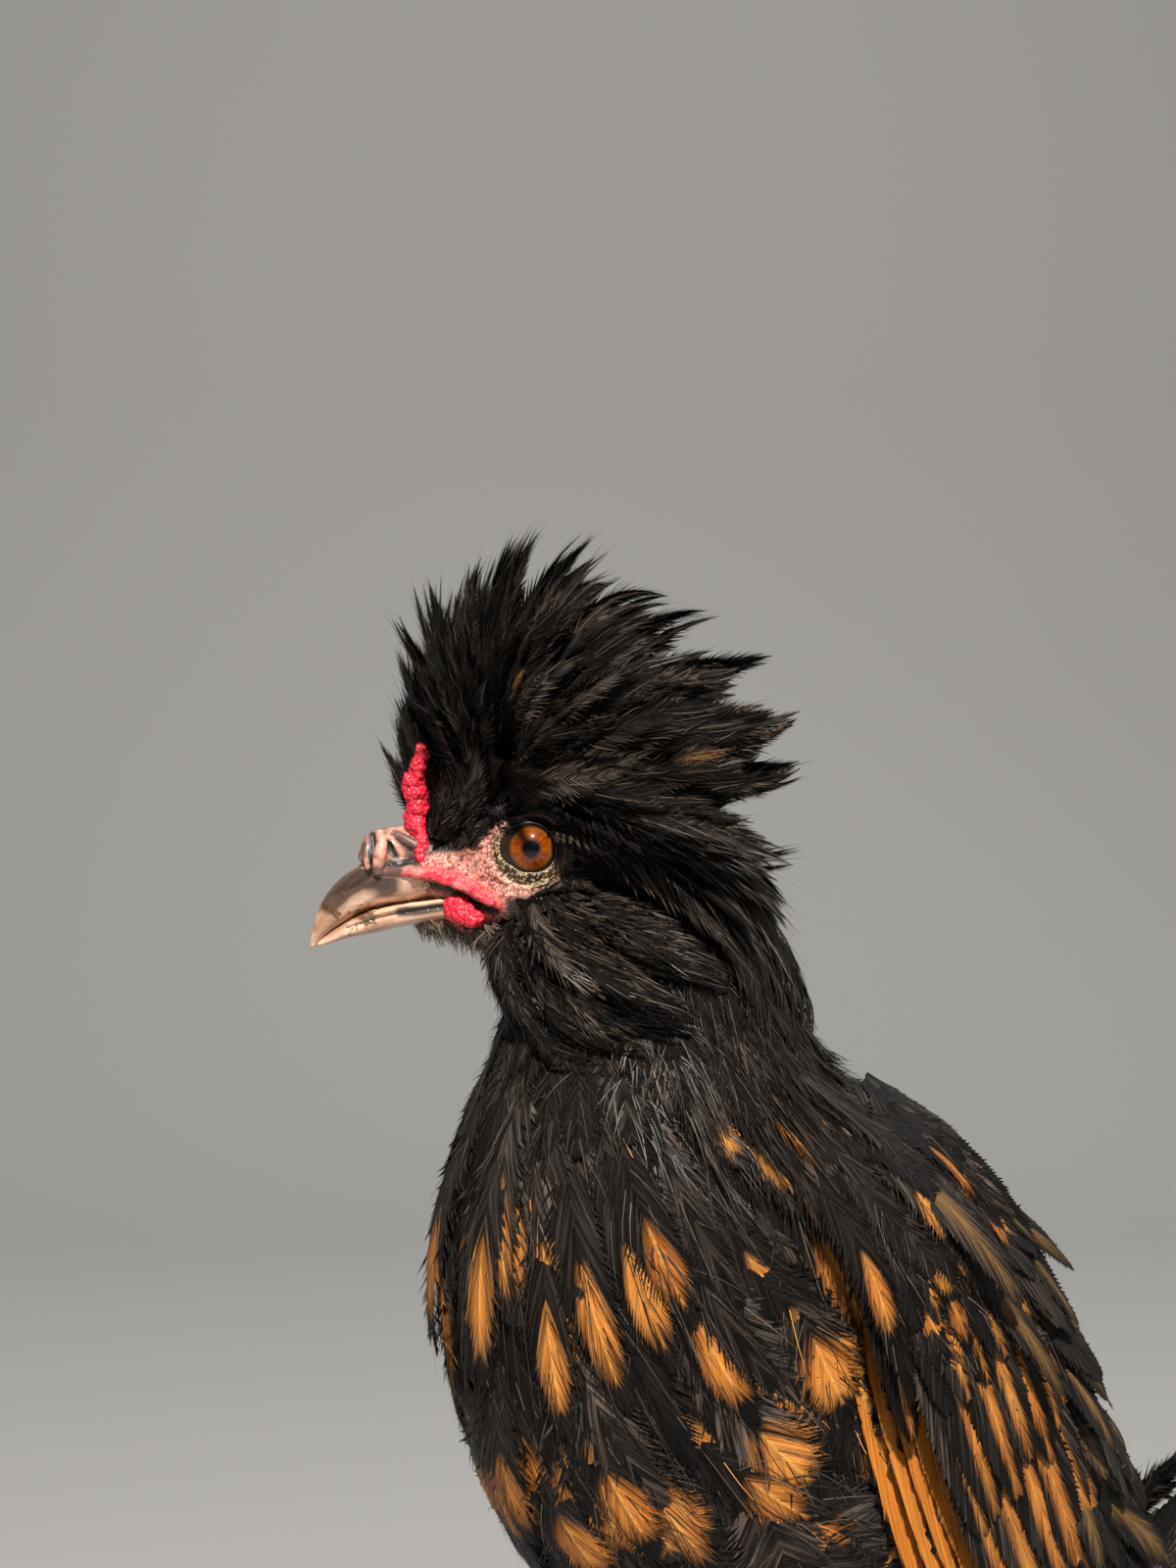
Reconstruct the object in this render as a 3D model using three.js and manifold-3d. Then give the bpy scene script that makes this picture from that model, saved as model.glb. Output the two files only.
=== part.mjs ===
// A crested Polish chicken standing still, at life size. Millimetres, +Z up, the floor at z = 0.
// The body faces -Y with its left side at +X, and the head is turned to the bird's right.
import * as THREE from "three";
import { mergeVertices } from "three/addons/utils/BufferGeometryUtils.js";
import Module from "manifold-3d";

const wasm = await Module();
wasm.setup();

// Driving dimensions
const EYE_HEIGHT = 338; // centres of the eyes above the floor
const HEAD_TURN = -35; // degrees about Z, to the bird's right
const NECK_TO_EYES = 20; // from the middle of the neck forward to the line through the eyes
const GAP = 0.3; // between pieces that touch
const EYEBALL_RADIUS = 6.6;
const EYEBALL_OUT = 8.1; // centre of an eyeball from the middle of the head
const LID_OPENING = 4.7; // radius of the opening between the lids
const BEAK_TIP = 42.3; // ahead of the eyes
const BEARD_ROWS = [
  { count: 8, ahead: 11, wide: 14.5, height: -14, rise: 4.6, spread: 2.35 },
  { count: 6, ahead: 9, wide: 13, height: -19, rise: 3, spread: 2 },
  { count: 4, ahead: 5, wide: 9, height: -23, rise: 1.6, spread: 1.5 },
];
const CREST_FEATHERS = 44;
const FRINGE_FEATHERS = 10; // upright, over the forehead
const NAPE_FEATHERS = 9; // hanging behind the head
const HACKLE_ROWS = [
  { count: 10, below: 8, length: 31, width: 18, lift: { root: 3, tip: 7, puff: 6 } },
  { count: 10, below: 19, length: 35, width: 21, lift: { root: 3, tip: 5.5, puff: 3 } },
  { count: 10, below: 31, length: 33, width: 23, lift: { root: 3, tip: 3.5, puff: 0 } },
];
const CREST_HALF = { ahead: 40, aside: 38, up: 38 };
const LEG_SPACING = 30; // middle of a leg from the middle of the body
const HOCK_HEIGHT = 88;
const SHANK_RADIUS = 5.4;
const TOE_RADIUS = 4.4;
const WING_TIERS = [
  { count: 4, from: 0.36, to: 1.0, front: 0.04, back: 0.5, wide: 17, most: 1.4 },
  { count: 4, from: 0.3, to: 0.86, front: 0.18, back: 0.92, wide: 20, most: 4.5 },
  { count: 4, from: 0.17, to: 0.52, front: 0.1, back: 0.92, wide: 20, most: 8 },
  { count: 4, from: 0.02, to: 0.32, front: 0.1, back: 0.9, wide: 20, most: 8 },
];
const WING_TILT = 0.16; // rise of each wing feather over the next, for each unit across
const TAIL_LENGTH = 122;
const TAIL_PAIRS = 5;
const TAIL_COVERTS = 2;
const TAIL_ROLL = 1.05; // radians that the tail feathers are turned from flat, like a roof

const FINISH = {
  plumage: { color: 0x1b1614, roughness: 0.55, metalness: 0 },
  crest: { color: 0x15110f, roughness: 0.5, metalness: 0 },
  flight: { color: 0x5a3216, roughness: 0.5, metalness: 0 },
  face: { color: 0xb5524a, roughness: 0.6, metalness: 0 },
  comb: { color: 0xc8202c, roughness: 0.45, metalness: 0 },
  horn: { color: 0x8c6a58, roughness: 0.35, metalness: 0 },
  eye: { color: 0xb4560f, roughness: 0.08, metalness: 0 },
  leg: { color: 0x5c6468, roughness: 0.55, metalness: 0 },
};

const vec = (x, y, z) => new THREE.Vector3(x, y, z);
const mix = THREE.MathUtils.lerp;
const clamp = THREE.MathUtils.clamp;
const radians = THREE.MathUtils.degToRad;

// Random draws from 0 to 1, the same each time for one seed.
function drawsFrom(seed) {
  let state = seed;
  return () => {
    state = (state * 1664525 + 1013904223) % 4294967296;
    return state / 4294967296;
  };
}

// A closed geometry as a solid.
function solid(geometry) {
  const bare = geometry.clone();
  bare.deleteAttribute("normal");
  bare.deleteAttribute("uv");
  const merged = mergeVertices(bare, 1e-4);
  const vertProperties = merged.attributes.position.array;
  const triVerts = new Uint32Array(merged.index.array);
  return new wasm.Manifold(new wasm.Mesh({ numProp: 3, vertProperties, triVerts }));
}

// The largest closed surface of a solid as a geometry.
function geometryOf(made) {
  const whole = made.decompose().reduce((a, b) => (b.volume() > a.volume() ? b : a));
  const mesh = whole.getMesh();
  return new THREE.BufferGeometry()
    .setAttribute("position", new THREE.BufferAttribute(new Float32Array(mesh.vertProperties), 3))
    .setIndex(new THREE.BufferAttribute(new Uint32Array(mesh.triVerts), 1));
}

const joined = (solids) => solids.reduce((a, b) => a.add(b));
const cutBy = (body, solids) => solids.reduce((a, b) => a.subtract(b), body);

// Moves each vertex of a geometry by a function of its place.
function reshape(geometry, place) {
  const position = geometry.attributes.position;
  const at = vec();
  for (let i = 0; i < position.count; i++) {
    at.fromBufferAttribute(position, i);
    place(at);
    position.setXYZ(i, at.x, at.y, at.z);
  }
  return geometry;
}

// A station of a loft: its middle, its half width, and its half heights above and below.
const station = (at, wide, above, below = above) => ({ at, wide, above, below });

// The direction across a loft that has its upper side up, or to the back where it runs up or down.
const AHEAD = vec(-1, 0, 0); // for one that runs ahead
const BACKWARD = vec(1, 0, 0); // for one that runs back or down

// The surface drawn through stations: a point and its outward direction for t from 0 to 1 along it,
// and an angle round it, 0 at the right of the travel and a quarter turn at its upper side.
function surfaceThrough(stations, across = AHEAD) {
  const path = new THREE.CatmullRomCurve3(stations.map((s) => s.at));
  const sizes = new THREE.CatmullRomCurve3(stations.map((s) => vec(s.wide, s.above, s.below)));
  return (t, angle, grow = 0, reach = 1) => {
    const along = path.getTangent(t);
    const up = vec().crossVectors(across, along).normalize();
    const side = vec().crossVectors(along, up).normalize();
    const size = sizes.getPoint(t);
    const cos = Math.cos(angle);
    const sin = Math.sin(angle);
    const tall = sin < 0 ? size.z : size.y;
    const at = path.getPoint(t);
    at.addScaledVector(side, cos * reach * (Math.max(size.x, 0.01) + grow));
    at.addScaledVector(up, sin * reach * (Math.max(tall, 0.01) + grow));
    const out = vec().addScaledVector(side, cos / Math.max(size.x, 1));
    out.addScaledVector(up, sin / Math.max(tall, 1)).normalize();
    return { at, out, along };
  };
}

// The closed body inside such a surface, with flat ends, and flattened where it would pass its lowest level.
function loft(stations, { sides = 20, steps = 16, grow = 0, across = AHEAD, lowest = -Infinity } = {}) {
  const surface = surfaceThrough(stations, across);
  const profile = [new THREE.Vector2(0, 0)];
  for (let i = 0; i <= steps; i++) profile.push(new THREE.Vector2(1, i / steps));
  profile.push(new THREE.Vector2(0, 1));
  const body = reshape(new THREE.LatheGeometry(profile, sides), (at) => {
    const t = clamp(at.y, 0, 1);
    const found = surface(t, Math.atan2(at.x, at.z), grow, Math.hypot(at.x, at.z));
    const end = t < 1e-6 ? -grow : t > 1 - 1e-6 ? grow : 0;
    at.copy(found.at).addScaledVector(found.along, end);
    at.setZ(Math.max(at.z, lowest));
  });
  return outward(solid(body), body);
}

// Turns a body's faces out where its mapping has turned them in.
function outward(made, geometry) {
  if (made.volume() > 0) return made;
  const index = geometry.index.array;
  for (let i = 0; i < index.length; i += 3) [index[i], index[i + 1]] = [index[i + 1], index[i]];
  return solid(geometry);
}

// An egg shape with its three half lengths.
function egg(at, half, { sides = 14, rings = 9, grow = 0 } = {}) {
  const size = half.clone().addScalar(grow);
  return solid(reshape(new THREE.SphereGeometry(1, sides, rings), (p) => p.multiply(size).add(at)));
}

// A flat feather, lock or plate along a path of points with outward directions. Its section is a flat
// diamond, and both its faces are split alike. The tip is a point, or blunt at that share of the width.
const POINTED = (t) => 0.5 + 1.4 * t - 1.75 * t * t;
const LEAF = (t) => 0.32 + 2.2 * t - 2.4 * t * t;
const ROUNDED = (t) => 0.62 + 0.95 * t - 0.95 * t * t;
function vane(path, { width, thick = 1.3, blunt = 0, hollow = 0.12, shape = POINTED, grow = 0 }) {
  const last = path.length - 1;
  const places = [];
  const faces = [];
  for (let i = 0; i <= last; i++) {
    const t = i / last;
    const { at, out } = path[i];
    const along = vec().subVectors(path[Math.min(i + 1, last)].at, path[Math.max(i - 1, 0)].at).normalize();
    const side = vec().crossVectors(along, out).normalize();
    const up = vec().crossVectors(side, along);
    if (i === last && !blunt) {
      places.push(at.clone().addScaledVector(along, grow));
      break;
    }
    const half = (width / 2) * (i === last ? blunt : shape(t)) + grow;
    const rise = (thick / 2) * (1 - 0.45 * t) + grow;
    const cup = hollow * half;
    places.push(at.clone().addScaledVector(up, rise));
    places.push(at.clone().addScaledVector(side, half).addScaledVector(up, -cup));
    places.push(at.clone().addScaledVector(up, -rise));
    places.push(at.clone().addScaledVector(side, -half).addScaledVector(up, -cup));
  }
  faces.push(0, 3, 2, 0, 2, 1);
  const rings = blunt ? last : last - 1;
  for (let i = 0; i < rings; i++) {
    const [top, right, under, left] = [0, 1, 2, 3].map((k) => 4 * i + k);
    const [top2, right2, under2, left2] = [4, 5, 6, 7].map((k) => 4 * i + k);
    faces.push(top, right, top2, right, right2, top2);
    faces.push(right, under, under2, right, under2, right2);
    faces.push(under, left, under2, left, left2, under2);
    faces.push(left, top, top2, left, top2, left2);
  }
  const end = 4 * rings;
  if (blunt) faces.push(end, end + 1, end + 2, end, end + 2, end + 3);
  else for (let k = 0; k < 4; k++) faces.push(end + k, end + ((k + 1) % 4), end + 4);
  const flat = new THREE.BufferGeometry().setFromPoints(places);
  return solid(flat.setIndex(faces));
}

// The path of a feather that leaves its root at a lift off the lie, and bends back towards it.
function bentPath({ root, along, out, length, lift, bend, steps = 3, sink = 2 }) {
  const heading = (angle) =>
    vec().addScaledVector(along, Math.cos(angle)).addScaledVector(out, Math.sin(angle));
  const first = heading(lift);
  const second = heading(lift - bend);
  const start = root.clone().addScaledVector(first, -sink).addScaledVector(out, -sink * 0.5);
  const middle = root.clone().addScaledVector(first, length / 2);
  const tip = middle.clone().addScaledVector(second, length / 2);
  const curve = new THREE.QuadraticBezierCurve3(start, middle, tip);
  return Array.from({ length: steps + 1 }, (_, i) => {
    const tangent = curve.getTangent(i / steps);
    const up = out.clone().addScaledVector(tangent, -out.dot(tangent)).normalize();
    return { at: curve.getPoint(i / steps), out: up };
  });
}

// The first of several paths whose vane stays clear of its neighbours from just past its root, or none.
function clearPath(tries, size, neighbours, from = 0.55) {
  return tries.find(([root, next, ...rest]) => {
    const path = [{ at: root.at.clone().lerp(next.at, from), out: next.out }, next, ...rest];
    const room = vane(path, { ...size, grow: GAP + 0.1 });
    return neighbours.every((near) => room.intersect(near).isEmpty());
  });
}

// A core with vanes fused to it, cut to leave room for what it grows from, and the room that it needs.
function feathered(core, vanes, rooms) {
  const rooted = vanes.filter(({ path }) => path);
  const whole = (grow) =>
    joined([core(grow), ...rooted.map(({ path, size }) => vane(path, { ...size, grow }))]);
  return { body: cutBy(whole(0), rooms), room: whole(1.5 * GAP) };
}

function addMesh(group, name, made, finish) {
  const mesh = new THREE.Mesh(geometryOf(made), new THREE.MeshStandardMaterial(FINISH[finish]));
  mesh.name = name;
  group.add(mesh);
}

// Head pieces are placed by how far they lie ahead of the eyes, to the left and above.
const H = (ahead, left, above) => vec(left, -ahead, above);
const headPlace = new THREE.Matrix4()
  .makeRotationZ(radians(HEAD_TURN))
  .setPosition(
    Math.sin(radians(HEAD_TURN)) * NECK_TO_EYES,
    -Math.cos(radians(HEAD_TURN)) * NECK_TO_EYES,
    EYE_HEIGHT,
  );
const fromHead = (point) => point.clone().applyMatrix4(headPlace);
const toHead = headPlace.clone().invert();

// The same solid seen from the head's own frame, or from the body's.
const inFrame = (made, matrix) => made.transform(matrix.elements);

// Torso: its middle line runs steeply down and back from the neck and levels out towards the tail.
const TORSO = [
  station(vec(0, 0, 294), 28, 27, 32),
  station(vec(0, 3, 282), 39, 33, 45),
  station(vec(0, 14, 261), 48, 43, 58),
  station(vec(0, 32, 231), 52, 53, 62),
  station(vec(0, 50, 200), 52, 53, 57),
  station(vec(0, 69, 171), 48, 45, 49),
  station(vec(0, 92, 152), 36, 28, 33),
  station(vec(0, 114, 147), 22, 17, 17),
];
const torsoOf = (grow) => loft(TORSO, { sides: 18, steps: 12, grow, across: BACKWARD });
const torsoSurface = surfaceThrough(TORSO, BACKWARD);
const torsoRoom = torsoOf(1.3 * GAP);

// Half width of the torso at a place seen from the side, and 0 outside its outline.
const torsoLine = new THREE.CatmullRomCurve3(TORSO.map((s) => s.at));
const torsoSizes = new THREE.CatmullRomCurve3(TORSO.map((s) => vec(s.wide, s.above, s.below)));
function torsoSide(y, z) {
  const point = vec(0, y, z);
  let best = { distance: Infinity, t: 0 };
  for (let i = 0; i <= 60; i++) {
    const distance = torsoLine.getPoint(i / 60).distanceTo(point);
    if (distance < best.distance) best = { distance, t: i / 60 };
  }
  const along = torsoLine.getTangent(best.t);
  const back = vec(0, -along.z, along.y);
  const offset = point.sub(torsoLine.getPoint(best.t)).dot(back);
  const size = torsoSizes.getPoint(best.t);
  const half = offset > 0 ? size.y : size.z;
  return size.x * Math.sqrt(Math.max(1 - (offset / half) ** 2, 0));
}

// Head: skull, snout, the folds of the face, and the rims of the lids round each eye.
const bothSides = (make) => [1, -1].map(make);
function lidRing(side, grow) {
  const depth = Math.sqrt(EYEBALL_RADIUS ** 2 - LID_OPENING ** 2);
  const ring = new THREE.TorusGeometry(LID_OPENING + 0.7, 1.15 + grow, 4, 10);
  ring.scale(1.12, 0.96, 1);
  ring.rotateY(Math.PI / 2);
  ring.rotateX(Math.PI / 2);
  ring.rotateX(Math.PI / 2);
  ring.translate(side * (EYEBALL_OUT + depth), -0.4, 0);
  return solid(ring);
}
function faceFold(side, grow) {
  const line = [
    station(H(29, side * 5.6, -5.2), 1.2, 1.2),
    station(H(23, side * 7.4, -5.4), 1.7, 1.6),
    station(H(15, side * 9.2, -7.6), 1.9, 1.8),
    station(H(8, side * 10.2, -11.4), 1.5, 1.5),
  ];
  return loft(line, { sides: 5, steps: 3, grow });
}
function skullOf(grow) {
  const skull = egg(H(-4, 0, -1), vec(14.2, 23.5, 16.5), { sides: 12, rings: 8, grow });
  const snout = loft(
    [
      station(H(-2, 0, -6), 11, 10, 11),
      station(H(10, 0, -5.5), 10.4, 8.6, 10),
      station(H(19, 0, -4.5), 8.2, 7, 6.4),
      station(H(25, 0, -4), 6.2, 5, 4.5),
    ],
    { sides: 8, steps: 3, grow },
  );
  return joined([skull, snout]);
}
const browOf = (side, grow) =>
  egg(H(2, side * 10.6, 5.6), vec(3.6, 8, 3), { sides: 6, rings: 4, grow });
function headOf(grow) {
  const onSide = (side) => joined([browOf(side, grow), faceFold(side, grow), lidRing(side, grow)]);
  return joined([skullOf(grow), ...bothSides(onSide)]);
}
const eyeball = (side, grow = 0) =>
  egg(H(0, side * EYEBALL_OUT, 0), vec(1, 1, 1).multiplyScalar(EYEBALL_RADIUS), { sides: 10, rings: 6, grow });
const headRoom = headOf(GAP);
const skullRoom = skullOf(GAP);

// Beak: the upper half with its hooked tip and the swollen nostrils, and the lower half under the mouth line.
function upperBeak(grow) {
  const horn = loft(
    [
      station(H(18, 0, -4), 7.4, 6.4, 5.2),
      station(H(25, 0, -3.6), 7, 6.8, 6.6),
      station(H(30.5, 0, -4.6), 6, 6.2, 6.6),
      station(H(35, 0, -8.4), 4.7, 4.2, 4.2),
      station(H(38.6, 0, -11.4), 3.4, 3.7, 3.2),
      station(H(41, 0, -14.6), 2, 2.4, 1.8),
      station(H(BEAK_TIP, 0, -18), 0.4, 0.4),
    ],
    { sides: 8, steps: 7, grow },
  );
  const bulb = (side) => egg(H(29.5, side * 4.3, -1.2), vec(2.4, 3.6, 3), { sides: 6, rings: 4, grow });
  return joined([horn, ...bothSides(bulb)]);
}
const nostril = (side) =>
  loft(
    [
      station(H(28.5, side * 7.6, 1), 1.3, 0.55),
      station(H(26.5, side * 7.4, -2), 1.6, 0.6),
      station(H(23.5, side * 8, -2.8), 1.2, 0.5),
    ],
    { sides: 5, steps: 3 },
  );
const upperRoom = upperBeak(GAP);
const lowerBeakOf = (grow) =>
  loft(
    [
      station(H(15, 0, -11), 6.6, 4, 3),
      station(H(24, 0, -11.6), 5.6, 4, 3),
      station(H(31.5, 0, -13.4), 4.2, 3.6, 3),
      station(H(37, 0, -16), 2.8, 2.6, 1.9),
      station(H(40.8, 0, -18.7), 0.5, 0.5, 0.4),
    ],
    { sides: 8, steps: 5, grow },
  );

// Comb: two short horns of the V comb, each built up from bulbs.
function combHorn(side, grow) {
  const bulbs = [];
  for (let i = 0; i < 4; i++) {
    const t = i / 3;
    const size = mix(3.6, 2.2, t);
    const at = H(mix(23, 21.8, t), side * mix(3.8, 7, t), mix(2.5, 17.2, t));
    bulbs.push(egg(at, vec(size * 0.8, size, size * 1.6), { sides: 5, rings: 4, grow }));
  }
  bulbs.push(egg(H(25.6, side * 5.2, 11.4), vec(1.8, 2.2, 2.3), { sides: 5, rings: 4, grow }));
  return joined(bulbs);
}
const combRooms = bothSides((side) => combHorn(side, GAP));
const wattleOf = (side, grow) =>
  joined([
    egg(H(13.5, side * 8.4, -13.4), vec(2, 4.4, 3), { sides: 6, rings: 4, grow }),
    egg(H(9.8, side * 9, -13.6), vec(1.8, 2.6, 2.2), { sides: 5, rings: 4, grow }),
  ]);
const wattleRooms = bothSides((side) => wattleOf(side, GAP));

// Neck core, from under the skull down to the top of the torso.
const NECK = [
  station(fromHead(H(-12, 0, -6)), 12, 12, 12),
  station(fromHead(H(-15, 0, -16)), 17, 18, 17),
  station(vec(0, -1.5, 312), 21, 24, 22),
  station(vec(0, -1, 303), 25, 26, 27),
  station(vec(0, -0.2, 294.5), 28, 27, 32),
];
const neckSurface = surfaceThrough(NECK, BACKWARD);
const neckCoreOf = (grow) => loft(NECK, { sides: 18, steps: 7, grow, across: BACKWARD });
const neckRoomInHead = inFrame(neckCoreOf(GAP), toHead);

// Beard and muffs: a core under the chin and cheeks, and locks swept back and down from it.
function beard() {
  const draw = drawsFrom(11);
  const core = (grow) => egg(H(-1, 0, -16), vec(15, 14, 8), { sides: 12, rings: 7, grow });
  const foldRooms = bothSides((side) => faceFold(side, GAP));
  const rooms = [skullRoom, neckRoomInHead, ...wattleRooms, lowerBeakOf(GAP), ...foldRooms];
  const near = [neckRoomInHead, inFrame(torsoRoom, toHead), ...wattleRooms, headRoom];
  const vanes = [];
  for (const { count, ahead, wide, height, rise, spread } of BEARD_ROWS) {
    for (let k = 0; k < count; k++) {
      const round = spread * (((k + 0.5) / count) * 2 - 1);
      const out = H(Math.cos(round), Math.sin(round), -0.25).normalize();
      const root = H(ahead * Math.cos(round) - 3, wide * Math.sin(round), height + rise * Math.abs(round));
      const aside = Math.sin(round);
      const along = H(-0.75 - 0.35 * Math.abs(aside), 0.2 * aside, -0.8 + 0.16 * Math.abs(round));
      along.addScaledVector(out, -along.dot(out)).normalize();
      const length = mix(17, 27, Math.abs(aside)) + 5 * draw();
      const size = { width: 12 + 2.5 * draw(), thick: 1.4, shape: LEAF };
      const tries = [0.25, 0.45, 0.65, 0.9, 1.2].map((lift) =>
        bentPath({ root, along, out, length, lift: lift + 0.12 * draw(), bend: 0.5, sink: 4 }),
      );
      vanes.push({ path: clearPath(tries, size, near, 0.95), size });
    }
  }
  return feathered(core, vanes, rooms);
}
const beardParts = beard();

// Crest: a core on the skull's knob, and narrow feathers out to an uneven dome of tips.
function crest() {
  const draw = drawsFrom(5);
  const rootCentre = H(-4, 0, 13);
  const tipCentre = H(-12, 0, 20);
  const half = vec(CREST_HALF.aside, CREST_HALF.ahead, CREST_HALF.up);
  const core = (grow) => egg(H(-8, 0, 18), vec(18, 21, 18), { sides: 12, rings: 8, grow });
  const rooms = [skullRoom, ...bothSides((side) => browOf(side, GAP)), neckRoomInHead, ...combRooms];
  const eyes = bothSides((side) => eyeball(side, GAP));
  const near = [neckRoomInHead, ...combRooms, headRoom, upperRoom, beardParts.room, ...eyes];
  const vanes = [];
  const grown = (root, middle, tip, face, width) => {
    const size = { width, thick: 1.4, shape: LEAF };
    const curve = new THREE.QuadraticBezierCurve3(root, middle, tip);
    const roll = 1.3 * (draw() - 0.5);
    const tries = [0, 3, 6, 9].map((raise) =>
      [0, 1, 2, 3].map((k) => {
        const tangent = curve.getTangent(k / 3);
        const up = face.clone().addScaledVector(tangent, -face.dot(tangent));
        if (up.length() < 0.25) up.add(H(0.3, 0, 0.6)).addScaledVector(tangent, -up.dot(tangent));
        up.normalize().applyAxisAngle(tangent, roll);
        return { at: curve.getPoint(k / 3).add(H(0, 0, (raise * k) / 3)), out: up };
      }),
    );
    vanes.push({ path: clearPath(tries, size, near), size });
  };
  for (let i = 0; i < CREST_FEATHERS; i++) {
    const level = 1 - (1.85 * (i + 0.5)) / CREST_FEATHERS;
    const turn = i * 2.39996;
    const ring = Math.sqrt(1 - level * level);
    const way = H(Math.cos(turn) * ring, Math.sin(turn) * ring, level);
    const reach = 0.94 + 0.14 * draw();
    const behind = Math.max(way.y, 0);
    const dome = (direction, share) => {
      const to = direction.clone().normalize();
      const overBrow = Math.max(-to.y, 0) * Math.max(to.z, 0);
      const overNape = Math.max(to.y, 0) * Math.max(-to.z, 0);
      const full = 1 + 0.36 * (overBrow + overNape);
      const at = to.multiply(half).multiplyScalar(share * full).add(tipCentre);
      return at.setZ(at.z - 12 * behind * Math.max(way.z, 0) * share);
    };
    const tip = dome(way, reach);
    if (tip.z < 17 - 0.74 * Math.max(tip.y - 2, 0)) continue;
    const root = way.clone().add(H(0.55, 0, 0.25)).normalize().multiply(vec(12, 15, 13)).add(rootCentre);
    const middle = dome(way.clone().add(H(0.5, 0, -0.12)), 0.8);
    grown(root, middle.lerp(root.clone().lerp(tip, 0.5), 0.25), tip, way, 16 + 3 * draw());
  }
  for (let i = 0; i < FRINGE_FEATHERS; i++) {
    const aside = mix(-1, 1, (i + 0.5) / FRINGE_FEATHERS);
    const rise = (i % 3) / 2;
    const edge = aside * aside;
    const root = H(11 - 5 * rise - 2 * edge, 9 * aside, 13 + 4 * rise);
    const height = mix(38, 60, rise) - 8 * edge + 4 * draw();
    const tip = H(mix(29, 14, rise) - 7 * edge + 2 * draw(), 26 * aside, height);
    const middle = H(23 - 6 * rise, 17 * aside, mix(22, 32, rise));
    grown(root, middle, tip, H(0.9, 0.5 * aside, 0.3).normalize(), 12 + 3 * draw());
  }
  for (let i = 0; i < NAPE_FEATHERS; i++) {
    const aside = mix(-1, 1, (i + 0.5) / NAPE_FEATHERS);
    const edge = aside * aside;
    const root = H(mix(-14, -1, edge), 12 * aside, 10);
    const tip = H(mix(-50, -36, edge) + 4 * draw(), 32 * aside, mix(-22, -5, edge) + 6 * draw());
    const middle = H(mix(-38, -15, edge), 25 * aside, mix(10, 11, edge));
    grown(root, middle, tip, H(-0.6, aside, 0.5).normalize(), 14 + 2 * draw());
  }
  return feathered(core, vanes, rooms);
}
const crestParts = crest();

// A place on the neck and on down the torso, at a distance below the neck's top.
const neckLine = new THREE.CatmullRomCurve3(NECK.map((s) => s.at));
function onLie(below, angle, lift) {
  const onNeck = below < neckLine.getLength();
  const line = onNeck ? neckLine : torsoLine;
  const share = onNeck ? below / line.getLength() : (below - neckLine.getLength()) / line.getLength();
  return (onNeck ? neckSurface : torsoSurface)(line.getUtoTmapping(share), angle, lift);
}

// Hackle: the neck's locks in overlapping rows, lying down over the shoulders.
function neck() {
  const draw = drawsFrom(3);
  const rooms = [inFrame(skullRoom, headPlace), torsoRoom];
  const above = [headRoom, crestParts.room, beardParts.room].map((made) => inFrame(made, headPlace));
  const near = above.concat(torsoRoom);
  const vanes = [];
  HACKLE_ROWS.forEach(({ count, below, length, width, lift }, row) => {
    for (let k = 0; k < count; k++) {
      const angle = ((k + 0.5 * (row % 2)) / count) * 2 * Math.PI;
      const behind = Math.max(Math.sin(angle), 0);
      const reach = length * (1 + 0.14 * draw()) * (1 + 0.12 * behind);
      const size = { width: width + 2 * draw(), thick: 1.4, shape: LEAF };
      const tries = [0, 1.5, 3, -2, 4.5, -4].map((more) =>
        [0, 1, 2, 3].map((i) => {
          const over = 2.3 * (k % 2) + more;
          const puff = lift.puff * behind * (i < 3 ? 1 : 0.4);
          const rise = i === 0 ? -4 : over + mix(lift.root, lift.tip, (i - 1) / 2) + puff;
          return onLie(below + (reach * i) / 3, angle, rise);
        }),
      );
      vanes.push({ path: clearPath(tries, size, near), size });
    }
  });
  return feathered(neckCoreOf, vanes, rooms);
}
const neckParts = neck();

// Legs: the feathered thigh, the bare shank with its plates, the toes with theirs, and the claws.
const hockAt = (side) => vec(side * LEG_SPACING, 64, HOCK_HEIGHT);
const footAt = (side) => vec(side * LEG_SPACING, 47, 7);
const thighOf = (side, grow) =>
  loft(
    [
      station(vec(side * 24, 60, 165), 22, 29, 27),
      station(vec(side * 27, 54, 140), 21, 29, 26),
      station(vec(side * 29, 55, 117), 17, 21, 19),
      station(vec(side * LEG_SPACING, 61, 98), 10.5, 12, 11),
      station(hockAt(side), 6.4, 6.6, 6.4),
    ],
    { sides: 12, steps: 6, grow, across: BACKWARD },
  );
function shankLine(side) {
  const top = hockAt(side).add(vec(0, 0, 4));
  const low = footAt(side).add(vec(0, 1, 3));
  return [
    station(top, 6, 5.6),
    station(top.clone().lerp(low, 0.12), 6.2, 6),
    station(top.clone().lerp(low, 0.3), SHANK_RADIUS, SHANK_RADIUS * 0.95),
    station(top.clone().lerp(low, 0.75), SHANK_RADIUS * 0.95, SHANK_RADIUS * 0.9),
    station(low, 6.2, 5.6),
  ];
}
const shankOf = (side, grow) => loft(shankLine(side), { sides: 8, steps: 5, grow, across: BACKWARD });
function shank(side) {
  const surface = surfaceThrough(shankLine(side), BACKWARD);
  const plates = [];
  for (let i = 0; i < 6; i++) {
    const t = mix(0.12, 0.76, i / 5);
    const { at, out, along } = surface(t, -Math.PI / 2, -0.6);
    const path = bentPath({ root: at, along, out, length: 10, lift: 0.12, bend: 0, steps: 1, sink: 0.6 });
    plates.push(vane(path, { width: 8, thick: 1.5, blunt: 0.6, hollow: 0.35, shape: ROUNDED }));
  }
  return joined([shankOf(side, 0), ...plates]);
}
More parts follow.
